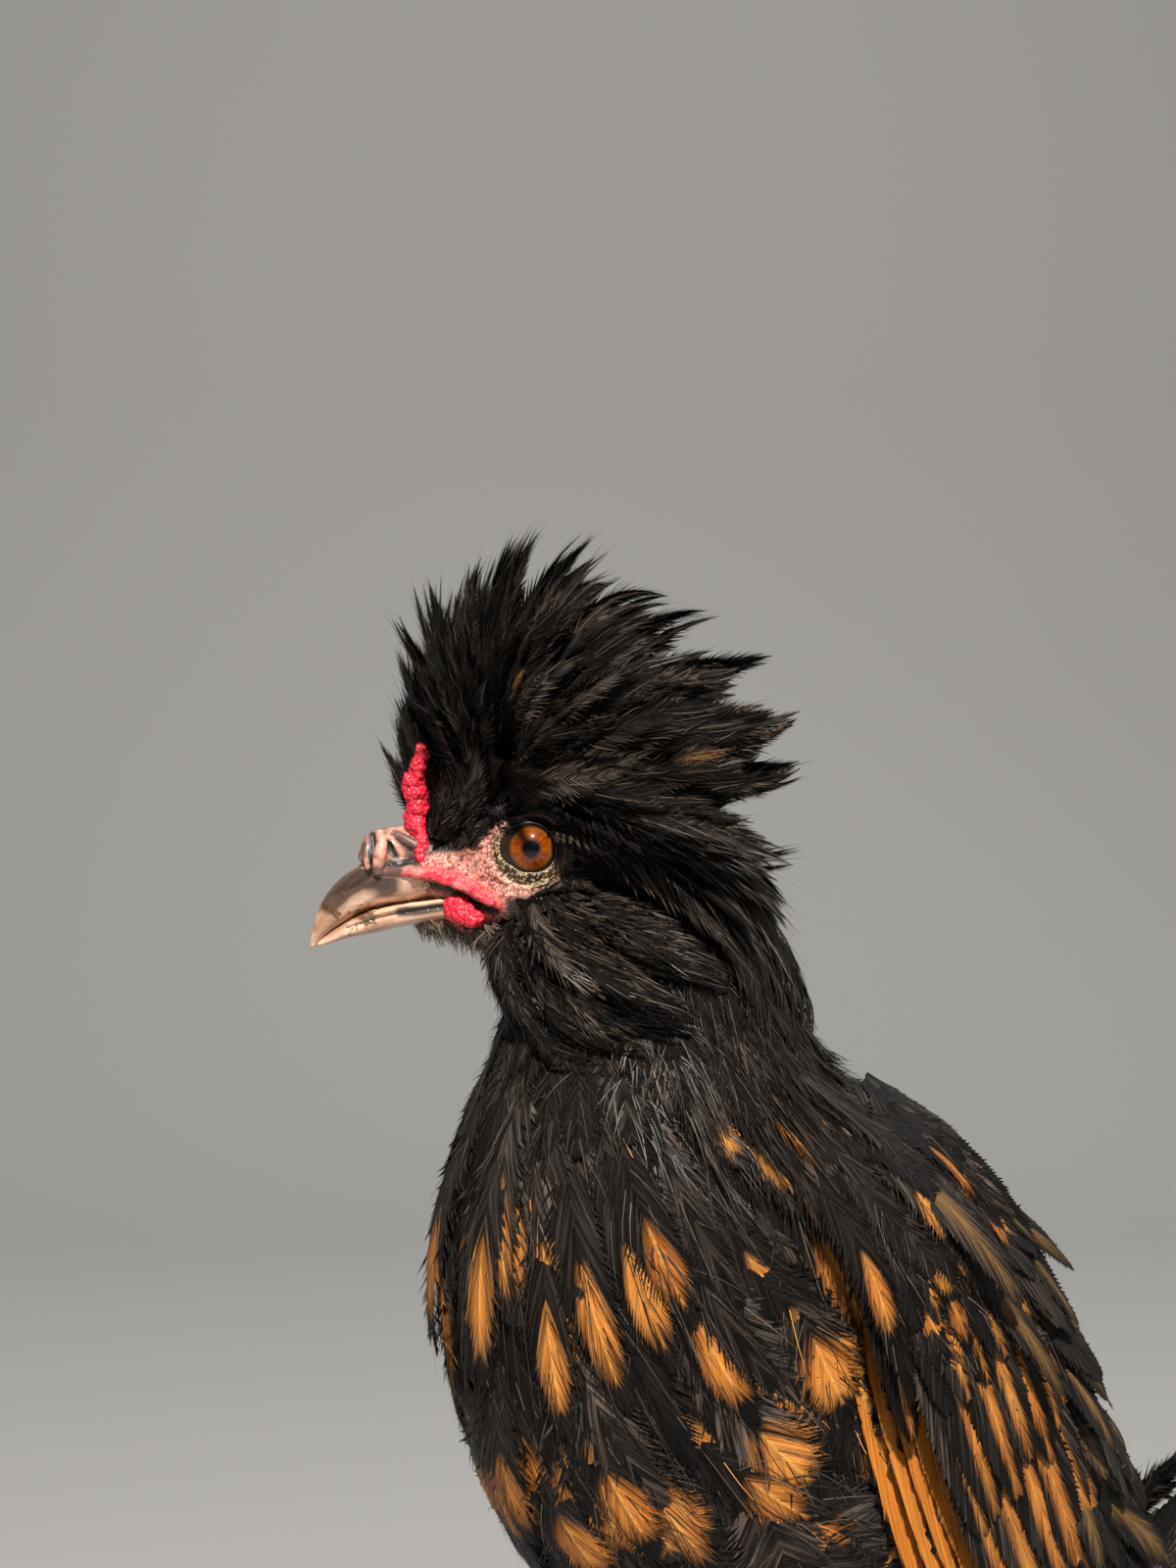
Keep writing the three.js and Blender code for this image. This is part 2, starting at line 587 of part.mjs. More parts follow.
const TOES = [
  { turn: -28, length: 33 },
  { turn: 0, length: 46 },
  { turn: 28, length: 35 },
  { turn: 168, length: 17 },
];
function toeLine(side, { turn, length }) {
  const angle = radians(turn * side);
  const way = vec(Math.sin(angle), -Math.cos(angle), 0);
  const start = footAt(side);
  return (t) => start.clone().addScaledVector(way, length * t).setZ(mix(3.1, 2.1, t));
}
const jointsOf = (toe) => Math.ceil(toe.length / 17);
function toeOf(side, toe, grow) {
  const line = toeLine(side, toe);
  const swells = jointsOf(toe) * 2;
  const stations = Array.from({ length: swells + 1 }, (_, i) => {
    const size = mix(TOE_RADIUS, 3.1, i / swells) + (i % 2 ? 0.4 : -0.25);
    return station(line(i / swells), size, size * 0.92);
  });
  const angle = radians(toe.turn * side);
  const across = vec(Math.cos(angle), Math.sin(angle), 0);
  return loft(stations, { sides: 6, steps: swells, grow, across, lowest: 0 });
}
function foot(side) {
  const pieces = [egg(footAt(side).add(vec(0, 0, -0.6)), vec(7.4, 7.4, 6.2), { sides: 8, rings: 4 })];
  for (const toe of TOES) {
    const line = toeLine(side, toe);
    pieces.push(toeOf(side, toe, 0));
    const plates = Math.ceil(toe.length / 25);
    for (let i = 0; i < plates; i++) {
      const t = mix(0.35, 0.8, plates > 1 ? i / (plates - 1) : 0.5);
      const at = line(t).add(vec(0, 0, mix(TOE_RADIUS, 3.1, t) * 0.78));
      const along = line(1).sub(line(0)).normalize();
      const lie = { root: at, along, out: vec(0, 0, 1), length: 9, lift: 0.1, bend: 0, steps: 1, sink: 0.6 };
      pieces.push(vane(bentPath(lie), { width: 6.4, thick: 1.3, blunt: 0.6, hollow: 0.3, shape: ROUNDED }));
    }
  }
  return cutBy(joined(pieces), [shankOf(side, GAP)]);
}
function claw(side, toe) {
  const line = toeLine(side, toe);
  const way = line(1).sub(line(0)).setZ(0).normalize();
  const at = (ahead, drop) => line(1).addScaledVector(way, ahead).add(vec(0, 0, -drop));
  const across = vec(-way.y, way.x, 0).normalize();
  const stations = [
    station(at(GAP, 0), 2.2, 2.2),
    station(at(4, 0), 1.9, 1.9),
    station(at(8, 0.6), 1.3, 1.3),
    station(at(11.5, 1.6), 0.4, 0.4),
  ];
  return loft(stations, { sides: 5, steps: 4, across });
}

// Wings: a thin arm against the torso's side, and tiers of vanes that hang down and back from it. The
// leading and trailing edges are drawn from the side, and s runs down them and v across.
const sideLine = (places) => new THREE.CatmullRomCurve3(places.map(([y, z]) => vec(0, y, z)));
const LEADING = sideLine([[15, 284], [17, 250], [30, 205], [54, 168], [92, 136]]);
const TRAILING = sideLine([[44, 287], [66, 258], [81, 222], [94, 184], [106, 146]]);
function wingPoint(side, s, v, lift) {
  const at = LEADING.getPoint(s).lerp(TRAILING.getPoint(s), v);
  const hold = mix(47, 40, clamp((s - 0.35) / 0.65, 0, 1)) - 60 * Math.max(v - 0.6, 0) ** 2;
  const x = Math.max(torsoSide(at.y, at.z), hold) + lift;
  return vec(side * x, at.y, at.z);
}
function wing(side) {
  const draw = drawsFrom(7);
  const arm = (grow) =>
    loft(
      [
        station(wingPoint(side, 0.0, 0.5, 0.5), 4, 12, 12),
        station(wingPoint(side, 0.1, 0.5, 1.5), 7, 18, 18),
        station(wingPoint(side, 0.25, 0.5, 1.5), 7, 23, 23),
        station(wingPoint(side, 0.4, 0.48, 1.0), 5, 22, 22),
        station(wingPoint(side, 0.52, 0.46, 0.5), 3, 16, 16),
      ],
      { sides: 12, steps: 7, grow, across: BACKWARD },
    );
  const rooms = [torsoRoom, thighOf(side, GAP), neckParts.room];
  const vanes = [];
  for (const tier of WING_TIERS) {
    for (let k = 0; k < tier.count; k++) {
      const share = k / (tier.count - 1);
      const v = mix(tier.front, tier.back, share);
      const reach = tier.to - (tier.to > 0.8 ? 0.2 : 0.02) * share + 0.02 * draw();
      const tries = [0, 1.2, 2.4, 4, 6].map((raise) =>
        [0, 1, 2, 3].map((i) => {
          const s = mix(tier.from, reach, i / 3);
          const lift = 2.1 + raise + Math.min(tier.most, (20 * (reach - tier.from) * i) / 3);
          const over = TRAILING.getPoint(s).sub(LEADING.getPoint(s)).normalize();
          const out = vec(side, 0, 0.05).addScaledVector(over, WING_TILT).normalize();
          return { at: wingPoint(side, s, v, lift), out };
        }),
      );
      const width = tier.wide * (1 - 0.1 * draw());
      const size = { width, thick: 1.2, blunt: 0.45, hollow: 0.1, shape: ROUNDED };
      vanes.push({ path: clearPath(tries, size, rooms), size });
    }
  }
  return feathered(arm, vanes, rooms).body;
}

// Tail: the rump's end, with the main feathers folded like a roof and a tier of coverts over them.
function tail() {
  const draw = drawsFrom(9);
  const base = (grow) =>
    loft(
      [
        station(vec(0, 106, 149), 18, 15, 14),
        station(vec(0, 124, 151), 17, 13, 12),
        station(vec(0, 136, 154), 10, 8, 7),
      ],
      { sides: 10, steps: 3, grow, across: BACKWARD },
    );
  const vanes = [];
  const grown = (side, { share, length, width, aside, spread, rise, sink }) => {
    const along = vec(side * spread, Math.cos(rise), Math.sin(rise)).normalize();
    const out = vec(side * Math.sin(TAIL_ROLL), 0, Math.cos(TAIL_ROLL));
    out.addScaledVector(along, -out.dot(along)).normalize();
    const root = vec(side * aside, 119, mix(158, 150, share));
    const path = bentPath({ root, along, out, length, lift: 0.04, bend: 0.1, steps: 3, sink });
    vanes.push({ path, size: { width, thick: 1.2, blunt: 0.5, hollow: 0.06, shape: ROUNDED } });
  };
  for (const side of [1, -1]) {
    for (let pair = 0; pair < TAIL_PAIRS; pair++) {
      const share = pair / (TAIL_PAIRS - 1);
      const length = TAIL_LENGTH * (1 - 0.1 * share) + 3 * draw();
      const [aside, spread, rise] = [mix(1.5, 15, share), mix(0.02, 0.28, share), mix(0.3, -0.1, share)];
      grown(side, { share, length, width: 24, aside, spread, rise, sink: 4 });
    }
    for (let k = 0; k < TAIL_COVERTS; k++) {
      const share = (k + 0.5) / TAIL_COVERTS;
      const length = 62 + 6 * draw();
      const [aside, spread, rise] = [mix(12, 17.5, share), mix(0.12, 0.36, share), mix(0.3, -0.1, share)];
      grown(side, { share, length, width: 27, aside, spread, rise, sink: 2 });
    }
  }
  return feathered(base, vanes, [torsoRoom]).body;
}

// The whole bird, set so that the middle of its box's base is the origin.
const bird = new THREE.Group();
const headGroup = new THREE.Group();
headGroup.applyMatrix4(headPlace);
bird.add(headGroup);

const eyeRooms = bothSides((side) => eyeball(side, GAP));
addMesh(headGroup, "head", cutBy(headOf(0), eyeRooms), "face");
addMesh(headGroup, "beak_upper", cutBy(upperBeak(0), [headRoom, nostril(1), nostril(-1)]), "horn");
addMesh(headGroup, "beak_lower", cutBy(lowerBeakOf(0), [headRoom, upperRoom]), "horn");
addMesh(headGroup, "beard", beardParts.body, "crest");
addMesh(headGroup, "crest", crestParts.body, "crest");
for (const [name, side] of [["left", 1], ["right", -1]]) {
  addMesh(headGroup, `eye_${name}`, eyeball(side), "eye");
  addMesh(headGroup, `comb_${name}`, cutBy(combHorn(side, 0), [headRoom, upperRoom]), "comb");
  const wattle = cutBy(wattleOf(side, 0), [headRoom, lowerBeakOf(GAP), upperRoom]);
  addMesh(headGroup, `wattle_${name}`, wattle, "comb");
  addMesh(bird, `thigh_${name}`, cutBy(thighOf(side, 0), [torsoRoom]), "plumage");
  addMesh(bird, `shank_${name}`, cutBy(shank(side), [thighOf(side, GAP)]), "leg");
  addMesh(bird, `foot_${name}`, foot(side), "leg");
  TOES.forEach((toe, i) => addMesh(bird, `claw_${name}_${i + 1}`, claw(side, toe), "horn"));
  addMesh(bird, `wing_${name}`, wing(side), "flight");
}
addMesh(bird, "torso", torsoOf(0), "plumage");
addMesh(bird, "neck", neckParts.body, "plumage");
addMesh(bird, "tail", tail(), "flight");

const part = new THREE.Group();
part.add(bird);
const box = new THREE.Box3().setFromObject(bird, true);
bird.position.set(-(box.min.x + box.max.x) / 2, -(box.min.y + box.max.y) / 2, -box.min.z);

export default part;
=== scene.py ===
# %% [markdown]
# # A crested chicken
# This lesson dresses the plain solids of a standing crested hen: bare face, horn, eyes, scaled legs, and
# a coat of some thousands of feathers. A real bird is one skin with feathers rooted in it, so the model
# is built in that order, and every size comes from the solids or from a few named measures.

# %% Loading the frame
import math

import bpy
import numpy as np
from mathutils import Matrix, Vector


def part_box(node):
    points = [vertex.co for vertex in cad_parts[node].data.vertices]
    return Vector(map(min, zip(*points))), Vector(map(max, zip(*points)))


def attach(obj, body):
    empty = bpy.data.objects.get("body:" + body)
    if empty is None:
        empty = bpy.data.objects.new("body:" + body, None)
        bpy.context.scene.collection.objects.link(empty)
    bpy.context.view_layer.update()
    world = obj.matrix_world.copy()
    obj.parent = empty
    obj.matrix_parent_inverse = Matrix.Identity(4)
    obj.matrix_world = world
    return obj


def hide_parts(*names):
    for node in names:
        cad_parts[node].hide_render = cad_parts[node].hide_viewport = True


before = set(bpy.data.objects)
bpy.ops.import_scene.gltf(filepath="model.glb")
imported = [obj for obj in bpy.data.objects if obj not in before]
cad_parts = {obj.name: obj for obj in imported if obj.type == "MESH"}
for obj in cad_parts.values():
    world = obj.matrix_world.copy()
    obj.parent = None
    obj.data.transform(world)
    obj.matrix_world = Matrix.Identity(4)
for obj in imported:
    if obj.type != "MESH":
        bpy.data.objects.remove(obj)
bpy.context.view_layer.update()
bpy.ops.object.select_all(action="DESELECT")
MM = 0.001

# %% [markdown]
# ## Where things are
# The head is turned, so its pieces are easier to place in its own directions. The two eyes give them:
# the line through the eyes is the head's left, and a quarter turn from it is ahead. The body keeps its
# own directions about the neck's upright axis, which runs a little behind the eyes.

# %% Directions of head and body
NECK_TO_EYES = 20


def middle_of(node):
    low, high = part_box(node)
    return (low + high) / 2


EYES = (middle_of("eye_left") + middle_of("eye_right")) / 2
LEFT = (middle_of("eye_left") - middle_of("eye_right")).normalized()
AHEAD = Vector((LEFT.y, -LEFT.x, 0))
UP = Vector((0, 0, 1))
NECK_AXIS = EYES - AHEAD * NECK_TO_EYES * MM


def head(ahead, left, above):
    """A place on the head, in mm from the middle between the eyes."""
    return EYES + (AHEAD * ahead + LEFT * left + UP * above) * MM


def body(x, y, z):
    """A place on the body, in mm from the foot of the neck's axis."""
    return Vector((NECK_AXIS.x, NECK_AXIS.y, 0)) + Vector((x, y, z)) * MM


HEAD_FRAME = np.array([AHEAD, LEFT, UP])


def from_eyes(points):
    """Places as columns of mm ahead, left and above, seen from between the eyes."""
    return (np.asarray(points) - np.array(EYES)) @ HEAD_FRAME.T / MM


def head_places(spots):
    """The way back: places in the world, from rows of mm ahead, left and above."""
    return np.asarray(spots) * MM @ HEAD_FRAME + np.array(EYES)


print("eyes", [round(c, 4) for c in EYES], "left", [round(c, 3) for c in LEFT])

# %% [markdown]
# ## The camera
# It stands level with the head, close to the bird's left side, as somebody who looks it in the eye.
# The lens is worked out from the distance and the height that the whole picture spans at the eye.

# %% The camera
VIEW_AZIMUTH = math.radians(55)
EYE_DISTANCE = 0.4
PICTURE_HEIGHT = 0.296
EYE_SIDE = 14
FRAME_SHIFT = (10.73, 12.21)
SENSOR_WIDTH = 36

back = Vector((math.sin(VIEW_AZIMUTH), -math.cos(VIEW_AZIMUTH), 0))
right = Vector((math.cos(VIEW_AZIMUTH), math.sin(VIEW_AZIMUTH), 0))
camera_data = bpy.data.cameras.new("camera")
camera_data.sensor_fit = "AUTO"
camera_data.sensor_width = SENSOR_WIDTH
camera_data.lens = SENSOR_WIDTH * EYE_DISTANCE / PICTURE_HEIGHT
camera_data.clip_start = 0.01
camera = bpy.data.objects.new("camera", camera_data)
bpy.context.scene.collection.objects.link(camera)
spot = head(0, EYE_SIDE, 0) + back * EYE_DISTANCE
spot += (right * FRAME_SHIFT[0] + UP * FRAME_SHIFT[1]) * MM
camera.matrix_world = Matrix.Translation(spot) @ Matrix((right, UP, back)).transposed().to_4x4()
bpy.context.scene.camera = camera
print("lens", round(camera_data.lens, 1))

# %% [markdown]
# ## Shader sums in plain Python
# A material is a graph of small sums. Written with Python's own operators it reads like a formula:
# the class below wraps one socket, and each operator adds the Math node that it stands for.

# %% A socket with operators
def settle(tree, socket, value):
    """Links a sum to a socket, or writes a number or a colour into it."""
    if isinstance(value, Sum):
        tree.links.new(value.socket, socket)
    elif value is not None:
        socket.default_value = (*value, 1.0) if socket.type == "RGBA" else value


class Sum:
    def __init__(self, finish, socket):
        self.finish = finish
        self.socket = socket

    def math(self, operation, *others, clamp=False):
        settings = {"operation": operation, "use_clamp": clamp}
        return self.finish.node("ShaderNodeMath", settings, dict(enumerate((self, *others))))

    def __rsub__(self, other):
        return self.finish.node("ShaderNodeMath", {"operation": "SUBTRACT"}, {0: other, 1: self})

    def __abs__(self):
        return self.math("ABSOLUTE")

    def clamped(self):
        return self.math("ADD", 0.0, clamp=True)


OPERATORS = {"add": "ADD", "radd": "ADD", "sub": "SUBTRACT", "mul": "MULTIPLY", "rmul": "MULTIPLY",
             "truediv": "DIVIDE", "pow": "POWER"}
for word, operation in OPERATORS.items():
    setattr(Sum, f"__{word}__", lambda one, other, operation=operation: one.math(operation, other))
print("operators", list(OPERATORS))

# %% [markdown]
# ## Finishes
# A finish is a material in the making. Its methods add the few kinds of node that the bird needs: noise,
# cells, ramps and mixes of two colours, and at the end the bump. A colour is three numbers.

# %% A finish
class Finish:
    """A node tree, and the surface that its sums lead to."""

    def __init__(self, name, roughness=0.5, **settings):
        self.material = bpy.data.materials.new(name)
        self.material.use_nodes = True
        self.tree = self.material.node_tree
        self.surface = self.tree.nodes["Principled BSDF"]
        for socket, value in {"Roughness": roughness, **settings}.items():
            self.set(socket.replace("_", " "), value)

    def node(self, kind, settings=None, sockets=None, output=0):
        made = self.tree.nodes.new(kind)
        for name, value in (settings or {}).items():
            setattr(made, name, value)
        for key, value in (sockets or {}).items():
            settle(self.tree, made.inputs[key], value)
        return Sum(self, made.outputs[output])

    def attribute(self, name):
        return self.node("ShaderNodeAttribute", {"attribute_name": name}, output="Fac")

    def place(self):
        return self.node("ShaderNodeTexCoord", output="Object")

    def split(self, vector):
        parts = self.node("ShaderNodeSeparateXYZ", None, {0: vector}).socket.node
        return [Sum(self, socket) for socket in parts.outputs]

    def vector(self, x, y, z):
        return self.node("ShaderNodeCombineXYZ", None, {0: x, 1: y, 2: z})

    def noise(self, scale, detail, vector=None):
        sockets = {"Vector": vector or self.place(), "Scale": scale, "Detail": detail}
        return self.node("ShaderNodeTexNoise", None, sockets)

    def cells(self, scale):
        return self.node("ShaderNodeTexVoronoi", None, {"Vector": self.place(), "Scale": scale})

    def ramp(self, value, low, high, most=1.0):
        """0 below low, most above high, and a straight rise between them."""
        sockets = {"Value": value, "From Min": low, "From Max": high, "To Max": most}
        return self.node("ShaderNodeMapRange", None, sockets)

    def blend(self, share, one, other):
        sockets = {0: share, 6: one, 7: other}
        return self.node("ShaderNodeMix", {"data_type": "RGBA"}, sockets, output=2)

    def between(self, value, low, high, one, other, most=1.0):
        """One colour where value is below low, and the other above high by the share most."""
        return self.blend(self.ramp(value, low, high, most), one, other)

    def set(self, socket, value):
        settle(self.tree, self.surface.inputs[socket], value)

    def bump(self, height, distance, strength):
        sockets = {"Height": height, "Distance": distance, "Strength": strength}
        self.set("Normal", self.node("ShaderNodeBump", None, sockets))


# %% [markdown]
# ## Feather finishes
# A feather is a shaft with hundreds of barbs that slant to its tip. Its markings follow the feather and
# not the bird, so the pattern is drawn in the feather's own map: across it from edge to edge and along
# it from root to tip. A barb is a line on which the distance along, less a share of the distance across,
# stays the same, and noise stretched on that line gives the fine hair-like streaks. The streaks are
# painted sheen: a light brown in the base colour where light would glint along the barbs.

# %% Feather finishes
BARB_SLANT = 0.34
STREAK_NOISES = ((3, 120, 1.4, 71), (2, 34, 1.1, 53), (1, 9, 1.5, 37))
BLACK = (0.0028, 0.0022, 0.0020)
# Painted sheen: the light brown that the barb streaks take where light would glint on black feathers.
BROWN_SHEEN = (0.125, 0.094, 0.076)
DEEP_GOLD = (0.45, 0.13, 0.018)
PALE_GOLD = (0.76, 0.32, 0.07)
SHAFT_GOLD = (0.80, 0.42, 0.11)
BLADE_GOLD = (0.74, 0.28, 0.05)
DEEP_BLADE = (0.55, 0.17, 0.022)
DULL_GOLD = (0.10, 0.052, 0.016)
DULL_PALE = (0.23, 0.135, 0.05)


class FeatherFinish(Finish):
    """Barb lines, a painted brownish sheen that fades to the tip, and a gold mark of the given shape."""

    def __init__(self, name, roughness=0.55, painted_sheen=1.0, web=False, spot=(0.79, 0.12, 1.0),
                 tints=(DEEP_GOLD, PALE_GOLD, SHAFT_GOLD), shaft_share=0.55):
        super().__init__(name, roughness, Specular_IOR_Level=0.12)
        across, along, _ = self.split(self.node("ShaderNodeUVMap", {"uv_map": "Vane"}))
        lead = across * 2 - 1
        aside = abs(lead)
        shade = self.attribute("shade")
        barb = along - aside * BARB_SLANT
        fine, middle, broad = (
            self.noise(1.0, detail, self.vector(barb * narrow, aside * wide, shade * apart))
            for detail, narrow, wide, apart in STREAK_NOISES)
        # Painted sheen: streaks of light brown along the barbs, fading to the tip, stand in for their
        # glint.
        streak = self.ramp(fine, 0.5, 0.75, 0.4) + self.ramp(middle, 0.5, 0.65, 0.75)
        streak += self.ramp(broad, 0.5, 0.7, 0.2)
        fade = 1 - self.ramp(along, 0.62, 0.98, 0.6)
        sheen = streak * fade * (0.14 + shade * shade * 1.25) * painted_sheen
        plain = self.blend(sheen.clamped(), BLACK, BROWN_SHEEN)
        ragged = (fine - 0.5) * 1.6 + (middle - 0.5) * 1.9 + (broad - 0.5) * 1.2
        if web:
            inside = self.web_mark(lead, along, ragged)
        else:
            inside = self.spot_mark(aside, along, ragged, *spot)
        deep, pale, shaft_tint = tints
        warmth = self.ramp(broad, 0.3, 0.75, 0.4) + fine * 0.5 + shade * 0.4 - 0.2
        marked = self.blend(inside.clamped(), plain, self.blend(warmth.clamped(), deep, pale))
        shaft = (1 - self.ramp(aside, 0.02, 0.06)) * inside * shaft_share
        self.set("Base Color", self.blend(shaft.clamped(), marked, shaft_tint))
        self.bump(fine * 0.6 + middle + self.ramp(aside, 0.1, 0.0, 0.4), 0.0009, 0.9)

    def web_mark(self, lead, along, ragged):
        """The whole outer web of a flight feather, but for a thin dark edge and end."""
        lead = lead * self.attribute("front")
        inside = self.ramp(lead, -0.04, 0.02) * self.ramp(0.94 - lead + ragged * 0.1, 0.0, 0.05)
        return inside * self.ramp(0.96 - along, 0.0, 0.05) * self.ramp(self.attribute("gold"), 0.3, 0.5)

    def spot_mark(self, aside, along, ragged, centre, spread, half):
        """A ragged drop that widens to the tip, round a centre on the shaft."""
        amount = self.attribute("gold")
        offset = (along - centre).math("MAXIMUM", (centre - along) / 1.25) / spread
        widening = self.ramp(along, centre - spread, centre + spread, 0.5) + 0.6
        sideways = aside / (widening * (amount * 0.7 + 0.3) * half)
        body_of_mark = 1 - offset * offset - sideways * sideways + ragged
        return self.ramp(body_of_mark, -0.35, 1.05) * self.ramp(amount, 0.02, 0.2)


def covert(name, *spot):
    return FeatherFinish(name, 0.52, spot=spot, shaft_share=0.2)


contour_finish = FeatherFinish("contour feathers")
loose_finish = FeatherFinish("loose feathers", 0.5, 1.1)
small_covert_finish = covert("small wing coverts", 0.70, 0.26, 0.3)
covert_finish = covert("wing coverts", 0.68, 0.3, 0.36)
long_covert_finish = covert("long wing coverts", 0.70, 0.34, 0.45)
saddle_finish = FeatherFinish(
    "saddle feathers", spot=(0.62, 0.34, 0.66), tints=(DULL_GOLD, DULL_PALE, DULL_PALE))
flight_finish = FeatherFinish(
    "flight feathers", 0.5, 0.7, web=True, tints=(DEEP_BLADE, BLADE_GOLD, PALE_GOLD))

barb_finish = Finish("loose barbs", 0.42, Specular_IOR_Level=0.25)
# Painted glint on the loose barbs: a high shade number paints a barb light brown where light would catch
# it. On the chin's down and the bristles this light brown is their own colour.
barb_tone_and_glint = barb_finish.blend(barb_finish.attribute("shade") ** 3, BLACK, (0.17, 0.125, 0.095))
barb_finish.set("Base Color", barb_finish.blend(barb_finish.attribute("gold"), barb_tone_and_glint, PALE_GOLD))
print("materials", len(bpy.data.materials))

# %% [markdown]
# ## Bodies drawn through stations
# Neck, torso, thigh and beak are all tubes of changing width. Each is written as a few stations, with
# the place of its middle and its half sizes, and a smooth curve through them gives any place on its
# surface: how far along, how far round, and how far off it. The same formula places the feathers later.

# %% A form through stations
RUNS_AHEAD = (-1, 0, 0)
RUNS_BACK = (1, 0, 0)
NUDGE = 1e-3


def unit(vectors):
    length = np.linalg.norm(vectors, axis=-1, keepdims=True)
    return vectors / np.maximum(length, 1e-9)


def through(values, t):
    """Smooth values between stations, at shares t of the way from the first to the last."""
    values = np.asarray(values, float)
    t = np.clip(np.asarray(t, float), 0, 1) * (len(values) - 1)
    i = np.minimum(t.astype(int), len(values) - 2)
    f = (t - i)[..., None]
    ends = np.vstack([2 * values[0] - values[1], values, 2 * values[-1] - values[-2]])
    a, b, c, d = (ends[i + k] for k in range(4))
    cubic = 3 * b - 3 * c + d - a
    return 0.5 * (2 * b + (c - a) * f + (2 * a - 5 * b + 4 * c - d) * f**2 + cubic * f**3)


class Form:
    """A tube through stations of (place, half width, half height above, half height below), in mm."""

    def __init__(self, stations, across=RUNS_BACK):
        self.path = np.array([place for place, *_ in stations])
        self.sizes = np.array([(s[1], s[2], s[-1]) for s in stations]) * MM
        self.across = np.array(across, float)

    def speed(self, t):
        """Length of the path for each whole share, at t."""
        t = np.asarray(t, float)
        step = through(self.path, t + NUDGE) - through(self.path, t - NUDGE)
        return np.linalg.norm(step, axis=-1) / (np.clip(t + NUDGE, 0, 1) - np.clip(t - NUDGE, 0, 1))

    def along(self, t):
        return unit(through(self.path, np.asarray(t) + NUDGE) - through(self.path, np.asarray(t) - NUDGE))

    def place(self, t, angle, lift=0.0):
        """Places on the surface, or a lift above it."""
        t, angle = np.broadcast_arrays(np.asarray(t, float), np.asarray(angle, float))
        along = self.along(t)
        up = unit(np.cross(self.across, along))
        side = np.cross(along, up)
        size = np.maximum(through(self.sizes, t), 1e-5)
        cos, sin = np.cos(angle), np.sin(angle)
        tall = np.where(sin < 0, size[..., 2], size[..., 1])
        aside = (cos * (size[..., 0] + lift))[..., None]
        above = (sin * (tall + lift))[..., None]
        return through(self.path, t) + side * aside + up * above

    def normal(self, t, angle):
        """Directions that leave the surface squarely, away from the middle line."""
        t, angle = np.broadcast_arrays(np.asarray(t, float), np.asarray(angle, float))
        down = self.place(t + NUDGE, angle) - self.place(t - NUDGE, angle)
        round_it = self.place(t, angle + NUDGE) - self.place(t, angle - NUDGE)
        square = np.cross(round_it, down)
        outward = self.place(t, angle) - through(self.path, t)
        return unit(square) * np.sign(np.sum(square * outward, axis=-1))[..., None]


# %% [markdown]
# ## Pieces, and their vertices
# Blender's own operators make the plain pieces: a tube is a circle extruded ring by ring, and an egg is
# a squashed ball. Numpy then reads and writes all the vertices of a piece at once, to set a tube on its
# form or to raise a relief. A remesh melts joined pieces into one surface.

# %% Pieces and vertices
def vertices_of(piece, kind="co"):
    """Places of a piece's vertices, or with the kind normal their directions."""
    values = np.zeros(len(piece.data.vertices) * 3, np.float32)
    piece.data.vertices.foreach_get(kind, values)
    return values.reshape(-1, 3).astype(float)


def set_places(piece, places):
    piece.data.vertices.foreach_set("co", np.ascontiguousarray(places, np.float32).ravel())
    piece.data.update()


def raised(piece, heights):
    """Moves each vertex outwards, by its height in mm."""
    set_places(piece, vertices_of(piece) + vertices_of(piece, "normal") * (heights * MM)[:, None])


def write_marks(piece, **marks):
    """Numbers for the finishes to read, one for each vertex."""
    for name, values in marks.items():
        attribute = piece.data.attributes.new(name, "FLOAT", "POINT")
        attribute.data.foreach_set("value", np.asarray(values, np.float32))


def only(*pieces):
    bpy.ops.object.select_all(action="DESELECT")
    for piece in pieces:
        piece.select_set(True)
    bpy.context.view_layer.objects.active = pieces[0]


def outward(piece):
    bpy.context.view_layer.objects.active = piece
    bpy.ops.object.mode_set(mode="EDIT")
    bpy.ops.mesh.select_all(action="SELECT")
    bpy.ops.mesh.normals_make_consistent(inside=False)
    bpy.ops.object.mode_set(mode="OBJECT")


def grown(name, form, sides=24, rings=20, inset=0.0):
    """A tube extruded ring by ring from a circle, and then set on its form, inset mm under it."""
    bpy.ops.object.select_all(action="DESELECT")
    bpy.ops.mesh.primitive_circle_add(vertices=sides, radius=1, fill_type="NGON")
    piece = bpy.context.object
    piece.name = name
    bpy.ops.object.mode_set(mode="EDIT")
    for _ in range(rings):
        bpy.ops.mesh.extrude_region_move(TRANSFORM_OT_translate={"value": (0, 0, 1)})
    bpy.ops.object.mode_set(mode="OBJECT")
    x, y, z = vertices_of(piece).T
    set_places(piece, form.place(z / rings, np.arctan2(y, x), -inset * MM))
    outward(piece)
    return piece


def egg(place, half, segments=24):
    """A ball squashed to three half sizes, in mm along the head's directions."""
    bpy.ops.object.select_all(action="DESELECT")
    bpy.ops.mesh.primitive_uv_sphere_add(segments=segments, ring_count=segments // 2, radius=1)
    ball = bpy.context.object
    scale = Matrix.Diagonal((half[1] * MM, half[0] * MM, half[2] * MM, 1))
    axes = Matrix((LEFT, -AHEAD, UP)).transposed().to_4x4()
    ball.data.transform(Matrix.Translation(place) @ axes @ scale)
    return ball


def joined(name, pieces):
    only(*pieces)
    bpy.ops.object.join()
    bpy.context.object.name = name
    return bpy.context.object


def smooth_shaded(piece):
    only(piece)
    bpy.ops.object.shade_smooth()
    return piece


